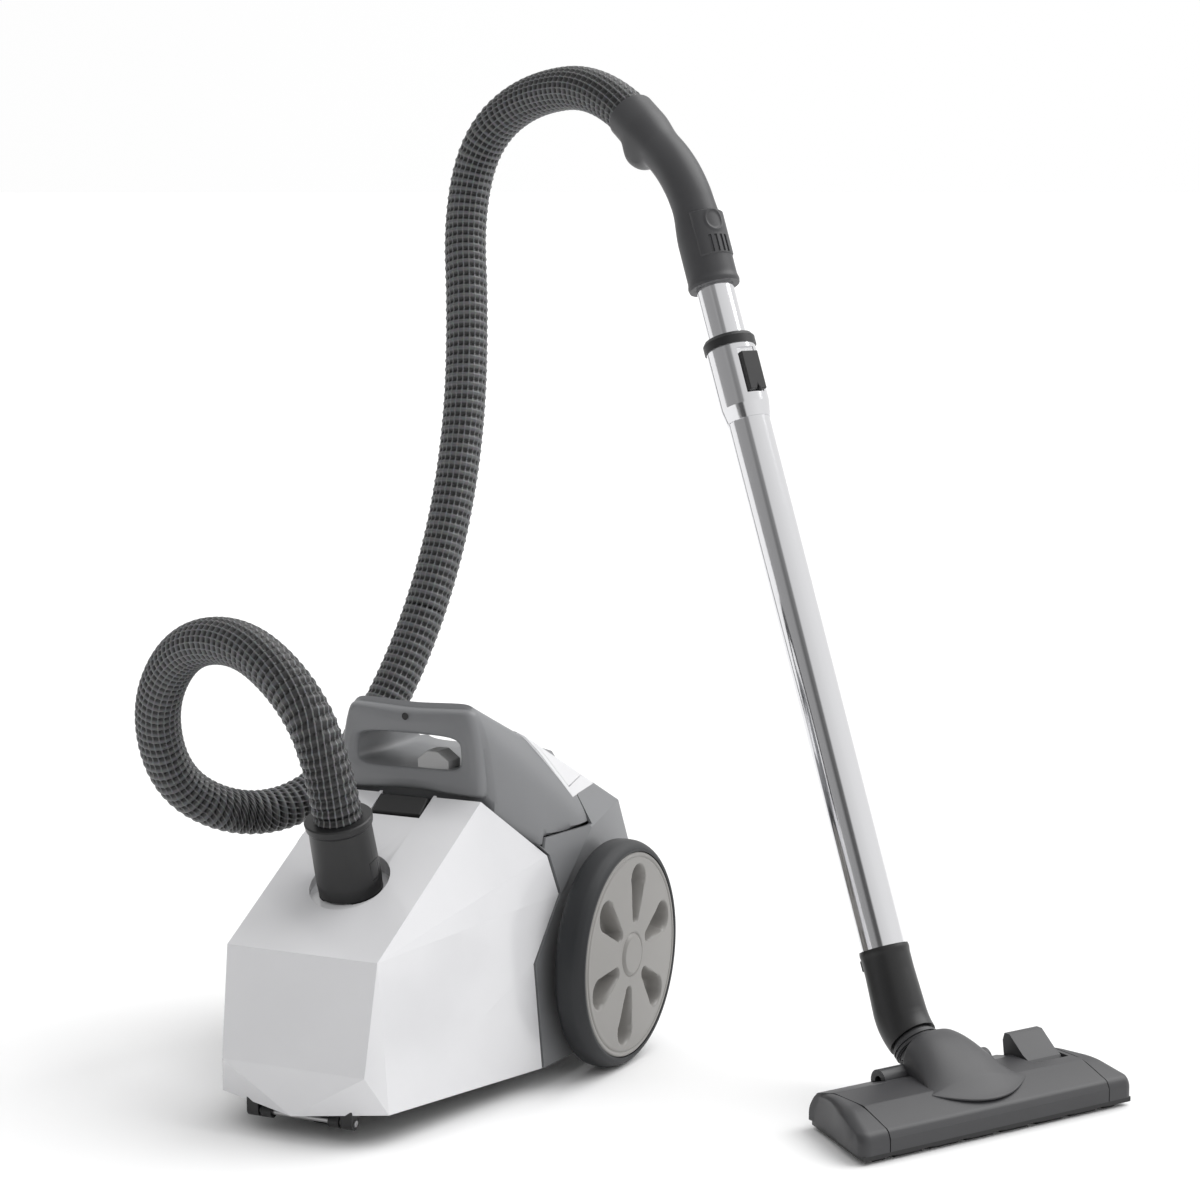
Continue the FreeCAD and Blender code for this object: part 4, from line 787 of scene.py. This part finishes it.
def makeSlider(values):
    # a patch of a cylinder round the wand's axis, half degrees each way round its front; radius falls by
    # slotDepth inside each slot, and rises round the oval pad's rim
    rows = np.linspace(values["low"], values["high"], 81)[:, None]
    turn = np.linspace(-values["half"], values["half"], 121)[None]
    across = np.radians(turn) * values["radius"]
    period = values["slotPitch"]
    inSlot = np.abs((across + period * 8) % period - period / 2) < 1.2
    inSlot = inSlot & (np.abs(across) < period * values["slots"] / 2)
    inSlot = inSlot & (rows > values["low"] + 2) & (rows < values["low"] + 17)
    centre, halfX, halfS = values["pad"]
    oval = np.sqrt((across / halfX) ** 2 + ((rows - centre) / halfS) ** 2)
    rim = 0.7 * np.exp(-((oval - 1) / 0.16) ** 2) - 0.5 * (oval < 0.9)
    edge = np.minimum(1, np.minimum(rows - values["low"], values["high"] - rows) / 1.5)
    edge = np.clip(np.minimum(edge, (values["half"] - np.abs(turn)) / 6), 0, 1)
    radius = values["radius"] - 1.6 * (1 - edge) + rim * edge - values["slotDepth"] * inSlot
    side = np.array([1.0, 0.0, 0.0])
    grid = (np.array(wandSet["gripStart"]) + wandDir * (rows * np.ones_like(turn))[..., None]
            - wandBack * (radius * np.cos(np.radians(turn)))[..., None]
            + side * (radius * np.sin(np.radians(turn)))[..., None])
    piece = surface("suction_regulator", fromHead(grid), "greyPolypropylene", wrap=False, smoothBelow=40.0)
    thick = piece.modifiers.new("wall", "SOLIDIFY")
    thick.thickness, thick.offset = 0.6 * mm, -1.0
    finishPiece(piece, "air_slider", slotOf["suction_slider"], "suction_slider")


makeSlider(sliderSet)
print("wand made")

# the floor head's neck hood
hoodSet = {
    "front": -41.0, "rear": 33.0, "crest": 63.5, "halfFront": 47.0, "halfRear": 31.0, "power": 2.7,
    "wall": 2.0,
    "top": [(-48, 22.0), (-40, 28.5), (-20, 33.6), (0, 34.0), (48, 34.0)],  # the head's top: depth, height
}


def makeHood(values):
    # over the head's top the hood rises by crest times a smooth ramp from front to rear; across, it is a
    # superellipse: rise * (1 - |u| ^ power) ^ (1 / power), so its middle is flat and its sides drop steeply
    t = np.linspace(0, 1, 72)[:, None]
    y = values["front"] + (values["rear"] - values["front"]) * t
    topDepth, topHeight = np.array(values["top"]).T
    base = np.interp(y, topDepth, topHeight)
    ramp = np.sin(0.5 * math.pi * t ** 1.35) ** 1.15
    rise = (values["crest"] - topHeight[-1]) * ramp
    u = np.sin(np.linspace(-math.pi / 2, math.pi / 2, 61))[None]
    half = values["halfFront"] + (values["halfRear"] - values["halfFront"]) * t ** 0.8
    dome = np.clip(1 - np.abs(u) ** values["power"], 0, 1) ** (1 / values["power"])
    z = base - 0.6 + (rise + 0.6) * dome
    y = y + 20 * u ** 2 * (1 - t) ** 1.5  # the front edge sweeps back at its ends
    z = z + np.interp(y, topDepth, topHeight) - base
    grid = np.stack([half * u, y, z - 0.5], -1)
    piece = surface("neck_hood", fromHead(grid), "greyPolypropylene", wrap=False, smoothBelow=60.0)
    thick = piece.modifiers.new("wall", "SOLIDIFY")
    thick.thickness, thick.offset = values["wall"] * mm, -1.0
    finishPiece(piece, "root", slotOf["neck_cover"], "neck_cover")


makeHood(hoodSet)

# the floor head's two end caps
capSet = {
    "half": 135.0, "depth": 48.0, "taper": 26.0, "seam": 109.0, "round": 7.5, "groove": 0.9, "sole": 7.0,
    "middle": (0.0, 18.0),  # depth and height that the outline shrinks towards
    "side": [(-48, 7), (-48, 17), (-45, 23), (-16, 34), (18, 35), (40, 30), (48, 17), (48, 7)],
}


def makeEndCaps(values):
    # the head's side outline, rounded, carried from the seam to the slanted end and rolled over by a quarter
    # circle; it starts in a shallow groove, the seam
    ring = softProfile(values["side"], 9.0, 6)
    underside = np.linspace(values["depth"], -values["depth"], 14)[1:-1]
    ring = np.vstack([ring, np.stack([underside, np.full(12, values["sole"])], -1)])
    middle = np.array(values["middle"])
    away = ring - middle
    length = np.linalg.norm(away, axis=1)[:, None]
    end = values["half"] - values["taper"] * (ring[:, 0] + values["depth"]) / (2 * values["depth"])
    roll = np.linspace(0, math.pi / 2, 8)
    insets = [values["groove"], values["groove"], 0.0, 0.0] + list(values["round"] * (1 - np.cos(roll)))
    steps = [0.0, 0.6, 1.0, None] + list(values["round"] * (1 - np.sin(roll)))
    for name, side in (("left", -1), ("right", 1)):
        rows = []
        for row, (inset, step) in enumerate(zip(insets, steps)):
            at = middle + away * (1 - inset / length)
            at[:, 1] = np.where(ring[:, 1] < 12, ring[:, 1], at[:, 1])  # the lower edge stays on the sole
            if row < 3:
                x = np.full(len(ring), values["seam"] + step)
            elif step is None:
                x = np.maximum(end - values["round"] - 0.2, values["seam"] + 1.05)
            else:
                x = np.maximum(end - step, values["seam"] + 1.1 + 0.02 * row)
            rows.append(np.stack([side * x, at[:, 0], at[:, 1]], -1))
        piece = surface(name + "_end_cap_moulded", fromHead(np.array(rows)), "greyPolypropylene", caps=True,
                        smoothBelow=50.0)
        outwards(piece)
        finishPiece(piece, "root", slotOf["head_end_caps"], "head_end_caps")


makeEndCaps(capSet)
print("head made")

# dust bag: a filled fleece bag, crowned, with soft folds
bagSet = {"half": (48.0, 78.0, 52.0), "at": (0.0, -52.0, 86.0), "power": 2.6}


def makeBag(values):
    # superellipsoid: each coordinate is its half size times a signed cosine or sine raised to 2 / power,
    # with low folds running down from the mouth
    v = np.linspace(-math.pi / 2, math.pi / 2, 61)[1:-1, None]
    u = np.linspace(0, 2 * math.pi, 96, endpoint=False)[None]

    def raised(value):
        return np.sign(value) * np.abs(value) ** (2 / values["power"])

    folds = 1 + 0.018 * np.sin(9 * u + 3 * v) * np.cos(v) + 0.012 * np.sin(5 * v + 2 * u)
    x = values["half"][0] * raised(np.cos(v)) * raised(np.cos(u)) * folds
    y = values["half"][1] * raised(np.cos(v)) * raised(np.sin(u)) * folds
    z = values["half"][2] * raised(np.sin(v)) * np.ones_like(u)
    y = y + 0.10 * z
    grid = place(np.stack([x, y, z], -1) + np.array(values["at"]))
    piece = outwards(surface("dust_bag_fleece", grid, "needledFleece", caps=True, smoothBelow=60.0))
    finishPiece(piece, "root", slotOf["dust_bag"], "dust_bag")


makeBag(bagSet)
print("dust bag made")

# studio: pale floor, pale surround with a darker left side, one soft sun
studioSet = {
    # brightness of the surround by turn from the viewer: 180 is behind the subject, 0 behind the viewer
    "surround": [(-180, 1.0), (-140, 0.95), (-112, 0.42), (-40, 0.36), (-28, 0.12), (-12, 0.10), (-4, 0.8),
                 (60, 1.0), (180, 1.0)],
    "zenith": 0.85, "sun": 1.9, "sunFrom": (0.62, 0.25, 0.9), "sunSpread": 55.0,
}


def makeStudio(values):
    mesh = bpy.data.meshes.new("floor")
    mesh.from_pydata([(-60, -60, 0), (60, -60, 0), (60, 60, 0), (-60, 60, 0)], [], [(0, 1, 2, 3)])
    pale = {"Base Color": (0.93, 0.93, 0.93, 1), "Roughness": 0.8}
    material, tree, shader = startMaterial("paleFloor", pale)
    mesh.materials.append(material)
    floor = bpy.data.objects.new("floor", mesh)
    bpy.context.scene.collection.objects.link(floor)
    world = bpy.data.worlds.new("surround")
    world.use_nodes = True
    tree = world.node_tree
    back = tree.nodes["Background"]
    az = math.radians(cameraSet["azimuth"])
    aside = (math.cos(az), math.sin(az), 0.0)
    viewer = (math.sin(az), -math.cos(az), 0.0)
    where = addNode(tree, "TexCoord").outputs["Generated"]
    partAside = addNode(tree, "VectorMath", {0: where, 1: aside}, operation="DOT_PRODUCT")
    partViewer = addNode(tree, "VectorMath", {0: where, 1: viewer}, operation="DOT_PRODUCT")
    turn = addNode(tree, "Math", {0: partAside.outputs["Value"], 1: partViewer.outputs["Value"]},
                   operation="ARCTAN2")
    along = addNode(tree, "MapRange", {"Value": turn.outputs[0], "From Min": -math.pi, "From Max": math.pi})
    ramp = addNode(tree, "ValToRGB", {"Fac": along.outputs["Result"]})
    points = ramp.color_ramp.elements
    while len(points) < len(values["surround"]):
        points.new(0.5)
    for point, (angle, shade) in zip(points, values["surround"]):
        point.position, point.color = (angle + 180) / 360, (shade, shade, shade, 1)
    height = addNode(tree, "SeparateXYZ", {"Vector": where})
    climb = addNode(tree, "MapRange", {"Value": height.outputs["Z"], "From Min": 0.35, "From Max": 0.95})
    sky = addNode(tree, "Mix", data_type="RGBA")
    tree.links.new(climb.outputs["Result"], sky.inputs[0])
    tree.links.new(ramp.outputs["Color"], sky.inputs[6])
    sky.inputs[7].default_value = (values["zenith"],) * 3 + (1,)
    tree.links.new(sky.outputs[2], back.inputs["Color"])
    bpy.context.scene.world = world
    data = bpy.data.lights.new("softSun", "SUN")
    data.energy, data.angle = values["sun"], math.radians(values["sunSpread"])
    lamp = bpy.data.objects.new("softSun", data)
    bpy.context.scene.collection.objects.link(lamp)
    part = values["sunFrom"]
    toSun = Vector(aside) * part[0] - Vector(viewer) * part[1] + Vector((0, 0, part[2]))
    lamp.rotation_mode = "QUATERNION"
    lamp.rotation_quaternion = (-toSun).to_track_quat("-Z", "Y")
    bpy.context.scene.view_settings.view_transform = "Standard"


makeStudio(studioSet)
print("studio made")
